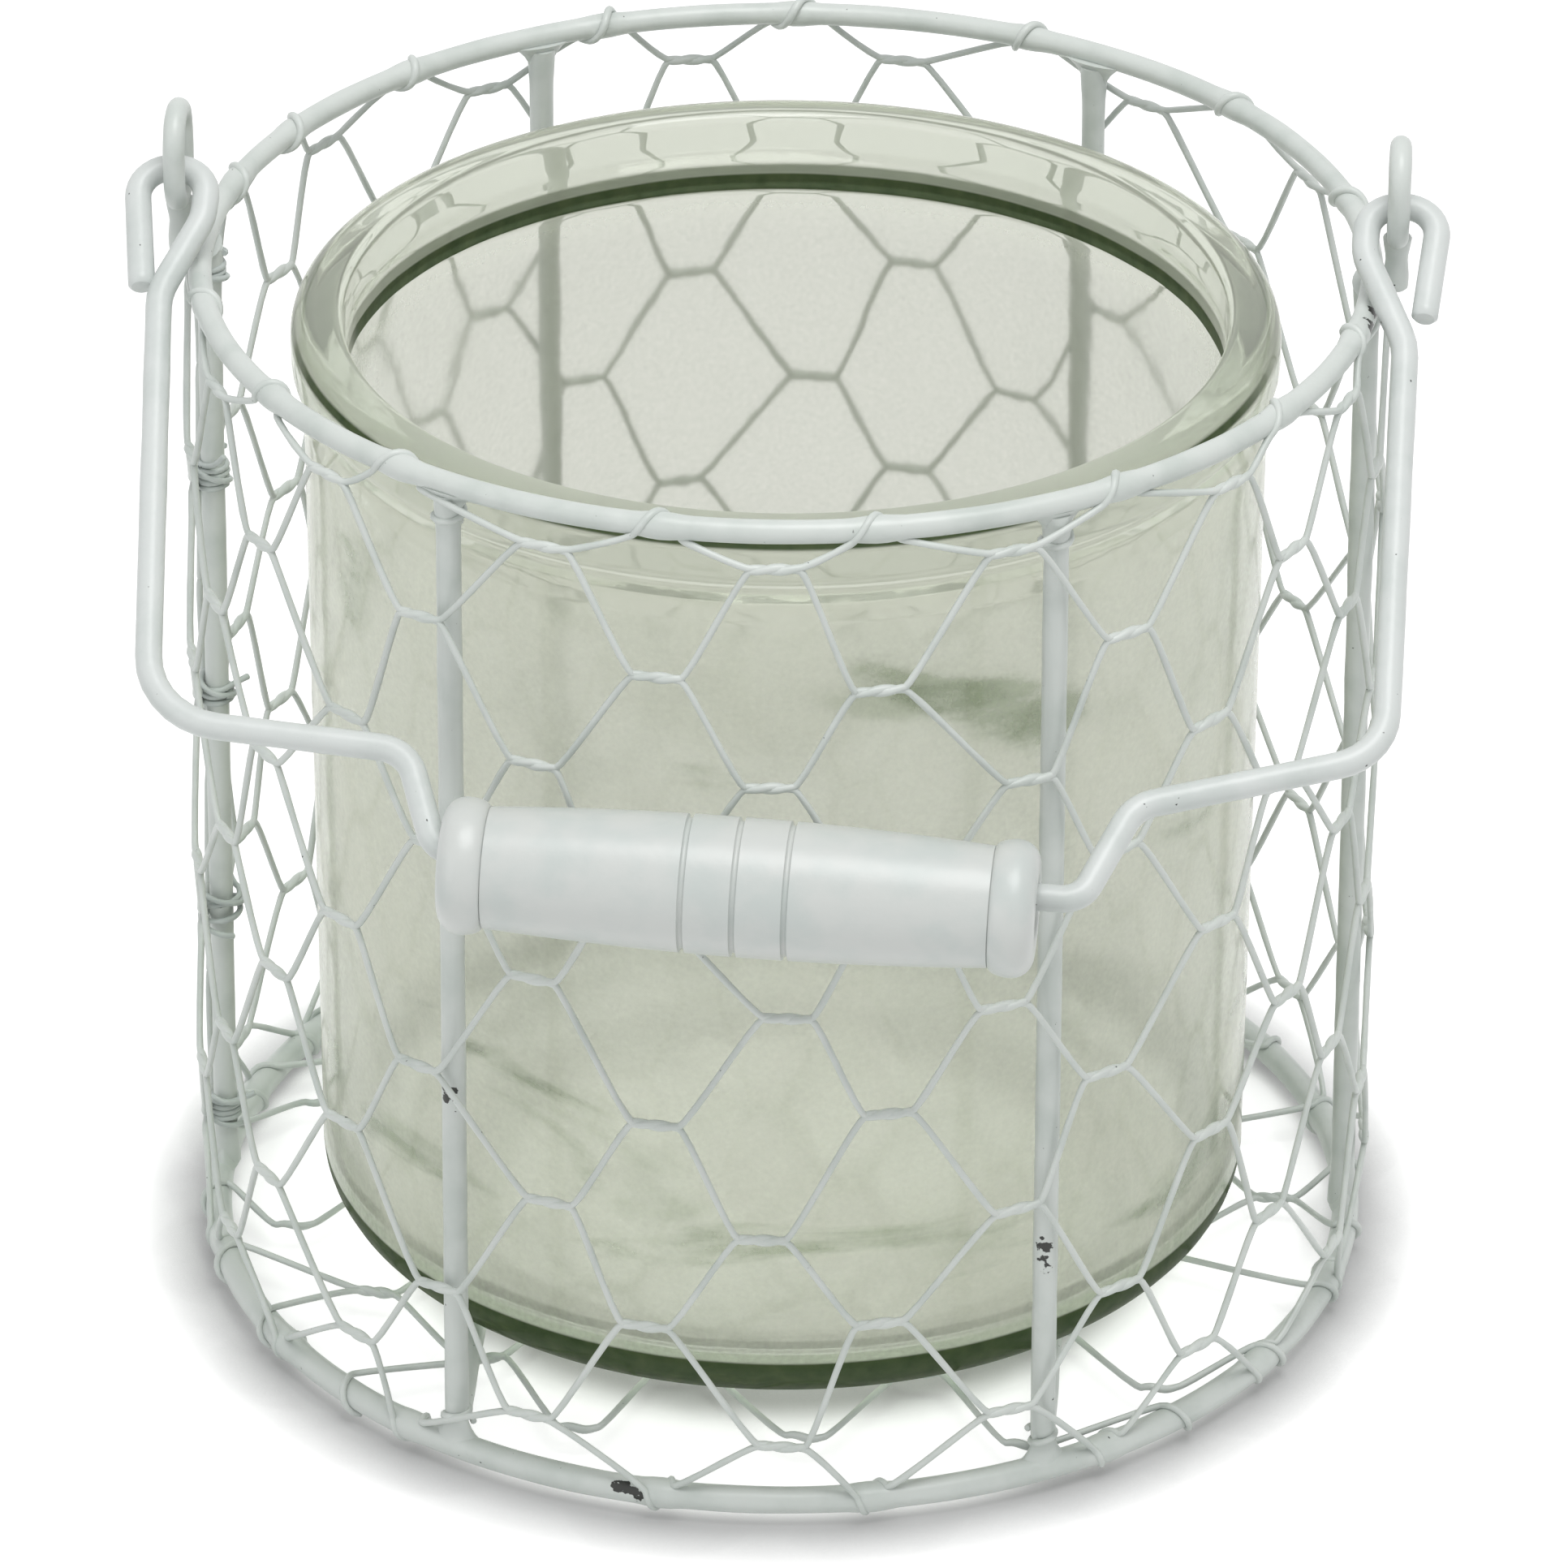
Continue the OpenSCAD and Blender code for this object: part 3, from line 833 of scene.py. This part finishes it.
    def welds(self) -> None:
        """Makes the flares at the top and at the foot of the uprights."""
        shape = bmesh.new()
        angles = [0, 180] + [s * a for s in (-1, 1) for a in (self.rod_angle, 180 - self.rod_angle)]
        high = self.top.z - self.top.wire * 0.25
        low = self.base.z + self.base.wire * 0.2
        for i, a in enumerate(angles):
            place = polar(self.post_r(high) + 0.1, a, high)
            self.fillet(shape, place, 6.2 + uneven(i, 2.0), 5.0 + uneven(i + 9, 1.2), 0.42)
            place = polar(self.post_r(low) + 0.2, a, low)
            self.fillet(shape, place, -6.4 + uneven(i + 5, 1.6), 4.4, 0.5)
        bmesh.ops.recalc_face_normals(shape, faces=shape.faces)
        piece("weld_fillets", shape, [self.paint], Body.CARRIER)

    def build(self, bulges: Sequence[tuple[float, float, float]]) -> None:
        """Makes the whole frame, with the thick stretches of both rings."""
        self.ring("top_ring", self.top, bulges)
        self.ring("base_ring", self.base, bulges)
        for side in Side:
            self.rod(side)
            self.post(side)
            self.ear(side)
        self.welds()


# ---- Netting


@dataclass
class Netting:
    """Hexagonal netting round the carrier, twisted wire by wire and laced to both rings."""

    carrier: Carrier
    paint: Material
    worn: Material
    wire: float = 1.02
    cells: int = 16
    last_row: int = 8
    row_pitch: float = 17.75
    first_row: float = 4.5
    twist_l: float = 6.8
    twist_r: float = 0.2
    stand_off: float = 1.24
    link: float = 1.2
    seam_a: float = 180.0
    even_phase: float = 2.9
    odd_share: float = 0.47
    back_slip: float = 11.0
    back_sag: float = 4.0
    chips: list[Chip] = field(default_factory=list)

    def mid_r(self, z: float) -> float:
        """Radius of the middle of a twist at a height."""
        return self.carrier.post_r(z) + self.carrier.post_wire / 2 + self.carrier.lap + self.stand_off

    def even_a(self, row: int, col: int) -> float:
        """Angle of a twist if the netting had not slipped."""
        step = 360 / self.cells
        return self.seam_a + self.even_phase + step * (col + (self.odd_share if row % 2 else 0))

    def at_back(self, row: int, col: int) -> float:
        """How far a twist lies at the back, from 0 to 1."""
        return max(0.0, math.sin(math.radians(self.even_a(row, col))))

    def row_z(self, row: int, col: int) -> float:
        """Height of a twist."""
        wander = 0 if row == 0 else 1.6 * math.sin(math.radians(97 * col + 211 * row + 40))
        sag = self.back_sag * self.at_back(row, col)
        return self.carrier.top.z - self.first_row - self.row_pitch * row - sag + wander

    def twist_a(self, row: int, col: int) -> float:
        """Angle of a twist."""
        wander = 1.2 * math.sin(math.radians(137 * col + 71 * row))
        return self.even_a(row, col) + self.back_slip * self.at_back(row, col) + wander

    def twist(self, row: int, col: int, above: int) -> list[Vector]:
        """One wire's turn about its partner, from above (1) or from below (-1)."""
        z = self.row_z(row, col)
        a = self.twist_a(row, col)
        middle = polar(self.mid_r(z), a, z)
        along = UP.cross(middle.normalized()).normalized()
        lean = UP * uneven(row * 31 + col, 0.9)
        return coil(middle, along * self.twist_l + lean, UP * above, self.twist_r, -1, 12)

    def lacing_a(self, col: int) -> float:
        """Angle of a turn of lacing, kept clear of the uprights and ears."""
        a = self.twist_a(1, col)
        upright = round(a / 60) * 60
        keep = 13.5 if upright % 180 == 0 else 5.2
        return upright + (-1 if a < upright else 1) * max(abs(a - upright), keep)

    def lacing(self, hoop: Hoop, a: float, up: int) -> list[Vector]:
        """A turn of wire over a ring and back underneath.

        Args:
            hoop: The ring.
            a: Angle of its middle.
            up: 1 on the top ring and -1 on the base ring.

        Returns:
            Points along the turn.
        """
        steps = 20
        length = (7.0 if up > 0 else 4.2) + uneven(a, 4.5)
        slack = max(0.0, math.sin(math.radians(a))) * (2.2 if up > 0 else 0.6)
        loose = 0.02 + abs(uneven(a + 3, slack))
        points = []
        for q in range(steps + 1):
            t = q / steps
            turn = up * math.radians(-30 + 320 * t)
            r = (hoop.wire + self.wire) / 2 - 0.35 + loose * math.sin(math.pi * t) ** 2
            at = a + math.degrees((t - 0.5) * length / hoop.r)
            points.append(polar(hoop.r + r * math.cos(turn), at, hoop.z + r * math.sin(turn)))
        return points

    def feature(self, row: int, col: int, above: int) -> list[Vector]:
        """Twist of a row, or the lacing above the first row and below the last."""
        if row < 0:
            return self.lacing(self.carrier.top, self.lacing_a(col), 1)
        if row > self.last_row:
            return self.lacing(self.carrier.base, self.lacing_a(col), -1)
        return self.twist(row, col, above)

    def seam_end(self, row: int, above: int, side: int) -> list[Vector]:
        """Last stretch of a wire, bent round the left upright."""
        z = self.row_z(row, 0) + above * 0.9
        places = ((0.4, 0), (2.4, 0.3))
        r = self.mid_r(z) - 0.5
        return [polar(r, self.seam_a + side * a, z + above * lift) for a, lift in places]

    def strand(self, i: int) -> Wire:
        """Wire between row i - 1 and row i; wire 0 holds the top ring and wire 9 the base ring."""
        even_row, odd_row = (i, i - 1) if i % 2 == 0 else (i - 1, i)
        above = 1 if i % 2 == 0 else -1
        runs = [self.seam_end(even_row, above, 1)]
        for col in range(self.cells):
            runs.append(self.feature(odd_row, col, -above))
            if col < self.cells - 1:
                runs.append(self.feature(even_row, col + 1, above))
        runs.append(self.seam_end(even_row, above, -1)[::-1])
        strand = Wire.even(linked(runs, self.link), self.wire / 2)
        strand.roughen(0.07, 2.2, i)
        for run in runs:
            strand.swell(run[len(run) // 2], self.twist_l * 0.6, 0.17)
        return strand

    def seam(self) -> None:
        """Makes the wire ends round the left upright: tight turns, a slanted one and a tail."""
        wires = []
        turns = ((2.6, 2.4), (4.6, 4.4), (2.7, 3.0), (1.8, 5.0), (3.4, 3.2))
        for knot, (count, length) in enumerate(turns):
            z = self.row_z(2 * knot, 0) + uneven(knot, 1.5)
            post = Vector((-self.carrier.post_r(z), 0, z))
            loose = 0.7 if knot == 3 else 0.0
            radius = (self.carrier.post_wire + self.wire) / 2 - 0.2 + loose
            tight = coil(post, UP * length, polar(1, 40 * knot, 0), radius, count, 60)
            way = (tight[-1] - tight[-2]).normalized()
            out = (tight[-1] - post).normalized()
            curl = UP * uneven(knot + 3, 0.8)
            tail = [tight[-1] + way * t + out * 0.3 * t + curl * t * t for t in (1.2, 2.4, 3.4)]
            tilt = Vector((uneven(knot + 2, 1.6), uneven(knot + 4, 1.6), length + 3.0))
            slant = coil(post, tilt, polar(1, 130 + 60 * knot, 0), radius + 0.45, -1.4, 30)
            for key, line in enumerate((tight + tail, slant)):
                wire = Wire.even(line, self.wire * 0.46)
                wire.roughen(0.1, 1.5, knot + key)
                wires.append(wire)
        painted("seam_wraps", wires, NET_SIDES, self.worn, ending="wound")

    def knots(self, hoop: Hoop, up: int) -> list[Wire]:
        """Turns of wire round the front uprights, next to a ring and filled with paint.

        Args:
            hoop: The ring.
            up: 1 at the top ring and -1 at the base ring.

        Returns:
            The wires.
        """
        wires = []
        for a in (240, 300):
            z = hoop.z - up * (5.4 + uneven(a * up, 1.2))
            post = polar(self.carrier.post_r(z), a, z)
            radius = (self.carrier.post_wire + self.wire) / 2 - 0.3
            along = UP * 2.6 + polar(0.9, a + 90, 0) * up
            turn = coil(post, along, polar(1, a + 120, 0), radius, 1.3, 24)
            wire = Wire.even(turn, self.wire / 2)
            wire.roughen(0.16, 1.6, a * up)
            wires.append(wire)
        return wires

    def build(self) -> None:
        """Makes every wire of the netting."""
        names = ["net_top_wire", *(f"net_wire_{i}" for i in range(1, 9)), "net_bottom_wire"]
        ends = {0: self.knots(self.carrier.top, 1), 9: self.knots(self.carrier.base, -1)}
        for i, name in enumerate(names):
            wires = [self.strand(i), *ends.get(i, [])]
            painted(name, wires, NET_SIDES, self.paint, self.chips)
        self.seam()

    def bulges(self) -> list[tuple[float, float, float]]:
        """Where paint fills the lacing on a ring, as angle, reach and size."""
        return [(self.lacing_a(col), 4.0 + uneven(col, 1.5), 0.3) for col in range(self.cells)]


@dataclass
class BaseNetting:
    """Netting under the jar: wires along X, twisted together and hooked on the base ring."""

    carrier: Carrier
    paint: Material
    wire: float = 1.02
    wires: int = 8
    row_pitch: float = 17.6
    cell: float = 33.0
    lift: float = 0.6
    clasp_l: float = 5.6
    twist_r: float = 0.25

    def y(self, i: int) -> float:
        """Middle line of a wire."""
        return (i - (self.wires + 1) / 2) * self.row_pitch

    def strand(self, i: int) -> Wire:
        """One zigzag wire with its ends bent over the base ring."""
        base = self.carrier.base
        z = base.z + self.lift
        y = self.y(i)
        inner = base.r - base.wire / 2 - self.wire / 2
        half = math.sqrt(inner**2 - y**2)
        clasps = []
        for n in range(-8, 8):
            x = (n + 0.5) * self.cell / 2
            if abs(x) < half - 8:
                side = 1 if (i + n) % 2 == 0 else -1
                seam = (i if side > 0 else i - 1) * 9 + n
                off = y + side * self.row_pitch / 2
                middle = Vector((x + uneven(seam, 6.0), off + uneven(seam + 5, 3.0), z))
                along = Vector((self.clasp_l, uneven(seam + 3, 3.0), 0))
                clasps.append(coil(middle, along, Vector((0, -side, 0)), self.twist_r, 1, 10))
        runs = [self.hook(-1, y)[::-1], *clasps, self.hook(1, y)]
        strand = Wire.even(linked(runs, 1.4), self.wire / 2)
        strand.roughen(0.06, 2.2, i + 20)
        for run in runs[1:-1]:
            strand.swell(run[len(run) // 2], self.clasp_l * 0.6, 0.15)
        return strand

    def hook(self, end: int, y: float) -> list[Vector]:
        """Turn of a wire's end over the base ring and under it.

        Args:
            end: -1 at the left and 1 at the right.
            y: Place of the wire.

        Returns:
            Points from the inside of the ring to the end of the wire.
        """
        base = self.carrier.base
        a = math.degrees(math.atan2(y, end * math.sqrt(base.r**2 - y**2)))
        r = (base.wire + self.wire) / 2 - 0.1
        turns = [math.radians(118 - 20 * q) for q in range(11)]
        return [
            polar(base.r + r * math.cos(turn), a + 0.25 * q, base.z + r * math.sin(turn))
            for q, turn in enumerate(turns)
        ]

    def build(self) -> None:
        """Makes the wires under the jar."""
        for i in range(1, self.wires + 1):
            painted(f"base_net_{i}", [self.strand(i)], NET_SIDES, self.paint)


# ---- Bail and grip


@dataclass
class Handle:
    """Bent wire bail and the turned grip on it, in the plane in which the bail lies at rest."""

    carrier: Carrier
    paint: Material
    wood: Material
    groove: Material
    pivot_lift: float = 11.4
    rest_a: float = 31.2666
    reach: float = 115.4
    hang: float = 2.1
    wire: float = 3.9
    grip_l: float = 83.0
    mid_d: float = 19.5
    neck_d: float = 17.0
    bead_d: float = 19.3
    bead_w: float = 6.3
    bead_in: float = 1.35
    bead_out: float = 3.1
    bore_d: float = 8.8
    tilt: float = 2.74
    groove_pitch: float = 7.2
    groove_w: float = 0.9
    groove_depth: float = 0.6
    chips: list[Chip] = field(default_factory=list)

    def plane(self) -> Matrix:
        """Places a flat shape in the bail's plane: Y runs from the pivot to the grip."""
        lift = Matrix.Translation(UP * (self.carrier.top.z + self.pivot_lift))
        return lift @ Matrix.Rotation(math.radians(180 + self.rest_a), 4, "X")

    def bail(self) -> None:
        """Makes the bail, with a hook at each end and a cranked span for the grip."""
        inner, outer = self.carrier.ear_x - 4.4, self.carrier.ear_x + 6.1
        slope = math.tan(math.radians(self.tilt))
        span = self.reach - self.hang
        flat = [
            (2.6 - outer, 20.6), (-outer, 0), (0.1 - inner, 0), (-0.1 - inner, 8.6), (-89.3, 21.5),
            (-84.6, 91.8), (-47.6, 95.6), (-42.6, span - 42.6 * slope), (47.3, span + 47.3 * slope),
            (54.2, 100.5), (88.7, 91), (89.9, 23.5), (inner - 0.3, 8.4), (inner, 0), (outer, 0),
            (outer - 2, 19),
        ]
        bends = [4.7, 4.7, 8, 10, 12, 6, 4, 4, 6, 9, 10, 8, 4.7, 4.7]
        place = self.plane()
        corners = [place @ Vector((x, y, 0)) for x, y in flat]
        wire = Wire.even(bent(corners, bends, 1.6), self.wire / 2)
        wire.roughen(0.07, 8.0, 2.0)
        painted("bail", [wire], 20, self.paint, self.chips, Body.BAIL)

    def outline(self) -> list[Vector]:
        """Outline of the grip from its middle to its end, radius along X and length along Z."""
        half = self.grip_l / 2
        barrel = half - self.bead_w

        def barrel_r(x: float) -> float:
            """Radius of the barrel at a distance from its middle."""
            return mix(self.mid_d, self.neck_d, (x / barrel) ** 2) / 2

        points = []
        edge = self.groove_w / 2
        dip = ((-1.6, 0), (-1, 0), (-0.75, 0.75), (-0.4, 1), (0.4, 1), (0.75, 0.75), (1, 0), (1.6, 0))
        for centre in (0.0, self.groove_pitch):
            low = barrel_r(centre) - self.groove_depth
            for at, r in dip:
                where = centre + at * edge
                if where >= 0:
                    points.append((where, mix(barrel_r(where), low, r)))
        points.insert(0, (0.0, barrel_r(0) - self.groove_depth))
        for q in range(1, 15):
            x = mix(self.groove_pitch + edge * 1.6, barrel - 0.1, q / 14)
            points.append((x, barrel_r(x)))
        for q in range(16):
            a = math.pi * (1 - q / 15)
            drop = self.bead_in if math.cos(a) < 0 else self.bead_out
            at = half - self.bead_w / 2 * (1 - math.cos(a))
            points.append((at, self.bead_d / 2 - drop * (1 - math.sin(a))))
        bore = self.bore_d / 2
        points += [(half, bore + 1.0), (half - 0.15, bore + 0.4), (half - 0.8, bore)]
        return [Vector((r, 0, x)) for x, r in points]

    def grip(self) -> None:
        """Makes the grip, with its grooves in their own finish."""
        half = self.outline()
        mirrored = [Vector((p.x, 0, -p.z)) for p in reversed(half[1:])]
        shape = turned([*mirrored, *half, mirrored[0]], 72)
        for face in shape.faces:
            middle = face.calc_center_median()
            near = min(abs(middle.z - n * self.groove_pitch) for n in (-1, 0, 1))
            if near < self.groove_w * 0.44 and math.hypot(middle.x, middle.y) > self.neck_d / 2 - 1:
                face.material_index = 1
        turn = Matrix.Rotation(math.radians(self.tilt), 4, "Z")
        place = self.plane() @ Matrix.Translation((0, self.reach, 0)) @ turn
        place = place @ Matrix.Rotation(math.radians(90), 4, "Y")
        bmesh.ops.transform(shape, matrix=place, verts=shape.verts)
        finishes = [self.wood, self.groove]
        piece("grip_turned", shape, finishes, Body.GRIP, ["grip"], sharp=50)

    def build(self) -> None:
        """Makes the bail and the grip."""
        self.bail()
        self.grip()


# ---- Jar


@dataclass
class Jar:
    """Pressed glass jar with a rolled rim, standing on the rods."""

    mouth_d: float = 129.0
    mouth_depth: float = 12.5
    wall: float = 3.7
    floor: float = 6.0
    rim_h: float = 9.0
    body_d: float = 141.0
    foot_r: float = 7.0
    ripple_l: float = 14.0
    ripple_in: float = 0.3
    ripple_out: float = 0.06

    def outline(self, height: float, rim: float) -> list[Vector]:
        """Outline of the jar's section.

        Args:
            height: Height of the jar.
            rim: Radius of the rolled rim.

        Returns:
            Points from the axis under the floor, round the wall, to the axis on the floor.
        """
        body, mouth = self.body_d / 2, self.mouth_d / 2
        corners = [
            (0, 1.6, 0), (body - 16, 1.6, 3), (body - 13, 0, 2), (body - 0.3, 0, self.foot_r),
            (body, height - self.rim_h - 6, 4), (body - 1, height - self.rim_h - 1, 1.5),
            (rim, height - self.rim_h + 1, 2.4), (rim, height, 3.6), (mouth, height, 1.6),
            (mouth, height - self.mouth_depth, 0.6),
            (body - self.wall, height - self.mouth_depth - 1.5, 1.5),
            (body - self.wall, self.floor, self.foot_r - 1), (0, self.floor, 0),
        ]
        points = [Vector((r, 0, z)) for r, z, _ in corners]
        return bent(points, [bend for _, _, bend in corners[1:-1]], 4.0)

    def build(self) -> None:
        """Makes the jar, with walls that ripple a little."""
        low, high = (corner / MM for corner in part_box("jar"))
        ledge = high.z - self.mouth_depth
        # Bands of painted dark green shade where glass is seen edge on: round the foot, at the ledge
        # inside the mouth on the back, and at the outside of the rim on the front.
        foot = Band(low.z, 7.7, self.body_d / 2 - 5.5, 0)
        rim = Band(high.z - 1.5, 1.1, self.body_d / 2 + 0.9, -1)
        glass = Glass([foot, Band(ledge + 1.0, 1.6, 0, 1), rim]).material()
        shape = turned(self.outline(high.z - low.z, high.x), 192)
        bmesh.ops.translate(shape, vec=UP * low.z, verts=shape.verts)
        for vertex in shape.verts:
            flat = Vector((vertex.co.x, vertex.co.y, 0))
            if flat.length > 5 and low.z + 3 < vertex.co.z < high.z - 3:
                inner = flat.length < self.body_d / 2 - 1.5
                depth = self.ripple_in if inner else self.ripple_out
                ripple = noise.noise(vertex.co / self.ripple_l) * depth
                vertex.co -= flat.normalized() * abs(ripple)
        piece("jar_pressed", shape, [glass], Body.JAR, ["jar"])


# ---- Studio


@dataclass
class Studio:
    """Pale floor, soft light and the camera."""

    distance: float = 1359.7
    azimuth: float = 3.607
    elevation: float = 29.47
    roll: float = 0.2435
    target_z: float = 74.6
    lens: float = 208.14
    daylight: float = 0.62
    # Reach, lean and strength of the floor's painted shadow.
    shade_in: float = 15.0
    shade_out: float = 11.0
    shade_lean: float = 0.75
    shade_power: float = 2.2

    def camera(self) -> None:
        """Long lens from the front, looking down on the mouth of the jar."""
        target = UP * self.target_z
        a, tip = math.radians(self.azimuth), math.radians(self.elevation)
        flat = math.cos(tip)
        back = Vector((math.sin(a) * flat, -math.cos(a) * flat, math.sin(tip)))
        data = bpy.data.cameras.new("camera")
        data.sensor_width = 36
        data.lens = self.lens
        data.clip_start = 0.01
        data.clip_end = 20
        made = set_out("camera", data)
        made.location = (target + back * self.distance) * MM
        turn = Quaternion((0, 0, 1), math.radians(self.roll))
        made.rotation_mode = "QUATERNION"
        made.rotation_quaternion = (-back).to_track_quat("-Z", "Y") @ turn
        bpy.context.scene.camera = made

    def lamp(self, name: str, place: Vector, size: float, power: float, tint: str) -> None:
        """Square soft light aimed at the middle of the carrier.

        Args:
            name: Name of the light.
            place: Where it hangs, in millimetres.
            size: Edge of the square in millimetres.
            power: Power in watts.
            tint: Its colour as a hex value.
        """
        data = bpy.data.lights.new(name, "AREA")
        data.energy = power
        data.size = size * MM
        data.color = colour(tint)[:3]
        made = set_out(name, data)
        made.location = place * MM
        aim = (UP * self.target_z - place).normalized()
        made.rotation_mode = "QUATERNION"
        made.rotation_quaternion = aim.to_track_quat("-Z", "Y")

    def seen(self, tree: NodeTree) -> Source:
        """1 for what the camera sees, straight, in gloss or through glass, and 0 for other rays."""
        ray = add(tree, "LightPath").outputs
        seen = ray["Is Camera Ray"]
        for name in ("Is Glossy Ray", "Is Transmission Ray"):
            seen = add(tree, "Math", {0: seen, 1: ray[name]}, operation="MAXIMUM")
        return seen

    def world(self) -> None:
        """White to the camera, in gloss and through glass, and plain light on the object."""
        world = bpy.data.worlds.new("surround")
        bpy.context.scene.world = world
        world.use_nodes = True
        tree = world.node_tree
        tree.nodes.clear()
        light = add(tree, "Background", {"Color": colour("F6F7F7"), "Strength": self.daylight})
        white = add(tree, "Background", {"Color": (1, 1, 1, 1), "Strength": 1.0})
        both = add(tree, "MixShader", {0: self.seen(tree), 1: light, 2: white})
        add(tree, "OutputWorld", {"Surface": both})

    def floor(self) -> None:
        """Wide white floor that keeps the carrier's soft shadow, deepened by painted shadow near it.
        """
        shape = bmesh.new()
        bmesh.ops.create_grid(shape, x_segments=1, y_segments=1, size=3.0)
        mesh = bpy.data.meshes.new("floor")
        shape.to_mesh(mesh)
        shape.free()
        material, tree = new_material("floor_paper")
        where = add(tree, "TexCoord").outputs["Object"]
        away = add(tree, "VectorMath", {0: where}, operation="LENGTH").outputs["Value"]
        # Painted shadow: ambient occlusion, its normal leaned in towards the middle outside the base
        # ring, darkens the floor round the carrier like a drop shadow.
        outer = ramp(tree, away, 0.078, 0.084)
        pull = add(tree, "Math", {0: outer, 1: -self.shade_lean}, operation="MULTIPLY")
        lean = add(tree, "VectorMath", {0: where}, operation="NORMALIZE")
        lean = add(tree, "VectorMath", {0: lean, "Scale": pull}, operation="SCALE")
        lean = add(tree, "VectorMath", {0: lean, 1: (0, 0.2, 0.66)}, operation="ADD")
        lean = add(tree, "VectorMath", {0: lean}, operation="NORMALIZE")
        reach = level(tree, outer, self.shade_in * MM, self.shade_out * MM)
        close = add(tree, "AmbientOcclusion", {"Distance": reach, "Normal": lean}, samples=16)
        dark = add(tree, "Math", {0: close.outputs["AO"], 1: self.shade_power}, operation="POWER")
        # Painted shadow in a ring under the edge of the jar's foot.
        foot = {0: ramp(tree, away, 0.044, 0.052), 1: ramp(tree, away, 0.065, 0.054)}
        foot = add(tree, "Math", foot, operation="MULTIPLY")
        under = add(tree, "Math", {0: foot, 1: outer}, operation="MAXIMUM")
        paper, plain, dimmed = (
            add(tree, "BsdfDiffuse", {"Color": (grey, grey, grey, 1)}) for grey in (0.9, 0.6, 0.3)
        )
        glow = add(tree, "Emission", {"Color": (1, 1, 1, 1), "Strength": 0.66})
        bright = add(tree, "AddShader", {0: plain, 1: glow})
        # Where the painted shadow falls, the floor blends to a dimmed grey.
        lit = add(tree, "MixShader", {0: level(tree, under, 1.0, dark), 1: dimmed, 2: bright})
        both = add(tree, "MixShader", {0: self.seen(tree), 1: paper, 2: lit})
        add(tree, "OutputMaterial", {"Surface": both})
        mesh.materials.append(material)
        set_out("floor", mesh)

    def build(self) -> None:
        """Sets the view, the light and the floor."""
        bpy.context.scene.view_settings.view_transform = "Standard"
        self.camera()
        self.world()
        self.floor()
        self.lamp("key", Vector((200, -350, 1450)), 800, 11.5, "FFFFFF")
        self.lamp("fill", Vector((-900, -900, 500)), 900, 1.8, "FAFCFF")


def main() -> None:
    """Builds the object, piece by piece, and its studio."""
    logging.basicConfig(level=logging.INFO, format="%(message)s")
    Studio().build()
    chips = [
        Chip(polar(r, a, z), reach)
        for r, a, z, reach in (
            (88.0, 240.2, 64.5, 2.6), (88.0, 299.0, 42.1, 2.6), (88.2, 299.4, 39.6, 1.7),
            (89.4, 240.4, 99.0, 1.2), (90.2, 270.1, 42.0, 1.9), (90.2, 266.7, 35.5, 1.9),
            (90.2, 281.3, 38.3, 1.1), (89.4, 240.0, 36.5, 1.3), (88.3, 258.4, 5.0, 1.9),
            (88.2, 259.7, 4.2, 1.4), (84.5, 61.5, 158.5, 1.8), (86.4, 348.8, 162.7, 2.1),
            (86.0, 351.0, 163.2, 1.5), (88.8, 241.4, 144.5, 1.0), (88.4, 181.0, 161.0, 1.6),
            (89.5, 179.0, 176.0, 1.2), (89.5, 1.0, 181.0, 1.4),
        )
    ]
    rod, net, seam, bail = (
        paint.material()
        for paint in (
            Paint("brushed_paint_on_rod"),
            Paint("dipped_paint_on_netting", roughness=0.38, lump=1.6),
            Paint("rubbed_paint_on_netting", white="BCC3C0", grey="98A09D", chips=0.72),
            Paint("brushed_paint_on_bail", white="CFD3D1", grey="C3C9C6"),
        )
    )
    carrier = Carrier(rod, chips=chips)
    netting = Netting(carrier, net, seam, chips=chips)
    carrier.build(netting.bulges())
    netting.build()
    BaseNetting(carrier, net).build()
    Handle(carrier, bail, Enamel().material(), Groove().material(), chips=chips).build()
    Jar().build()


if __name__ == "__main__":
    main()
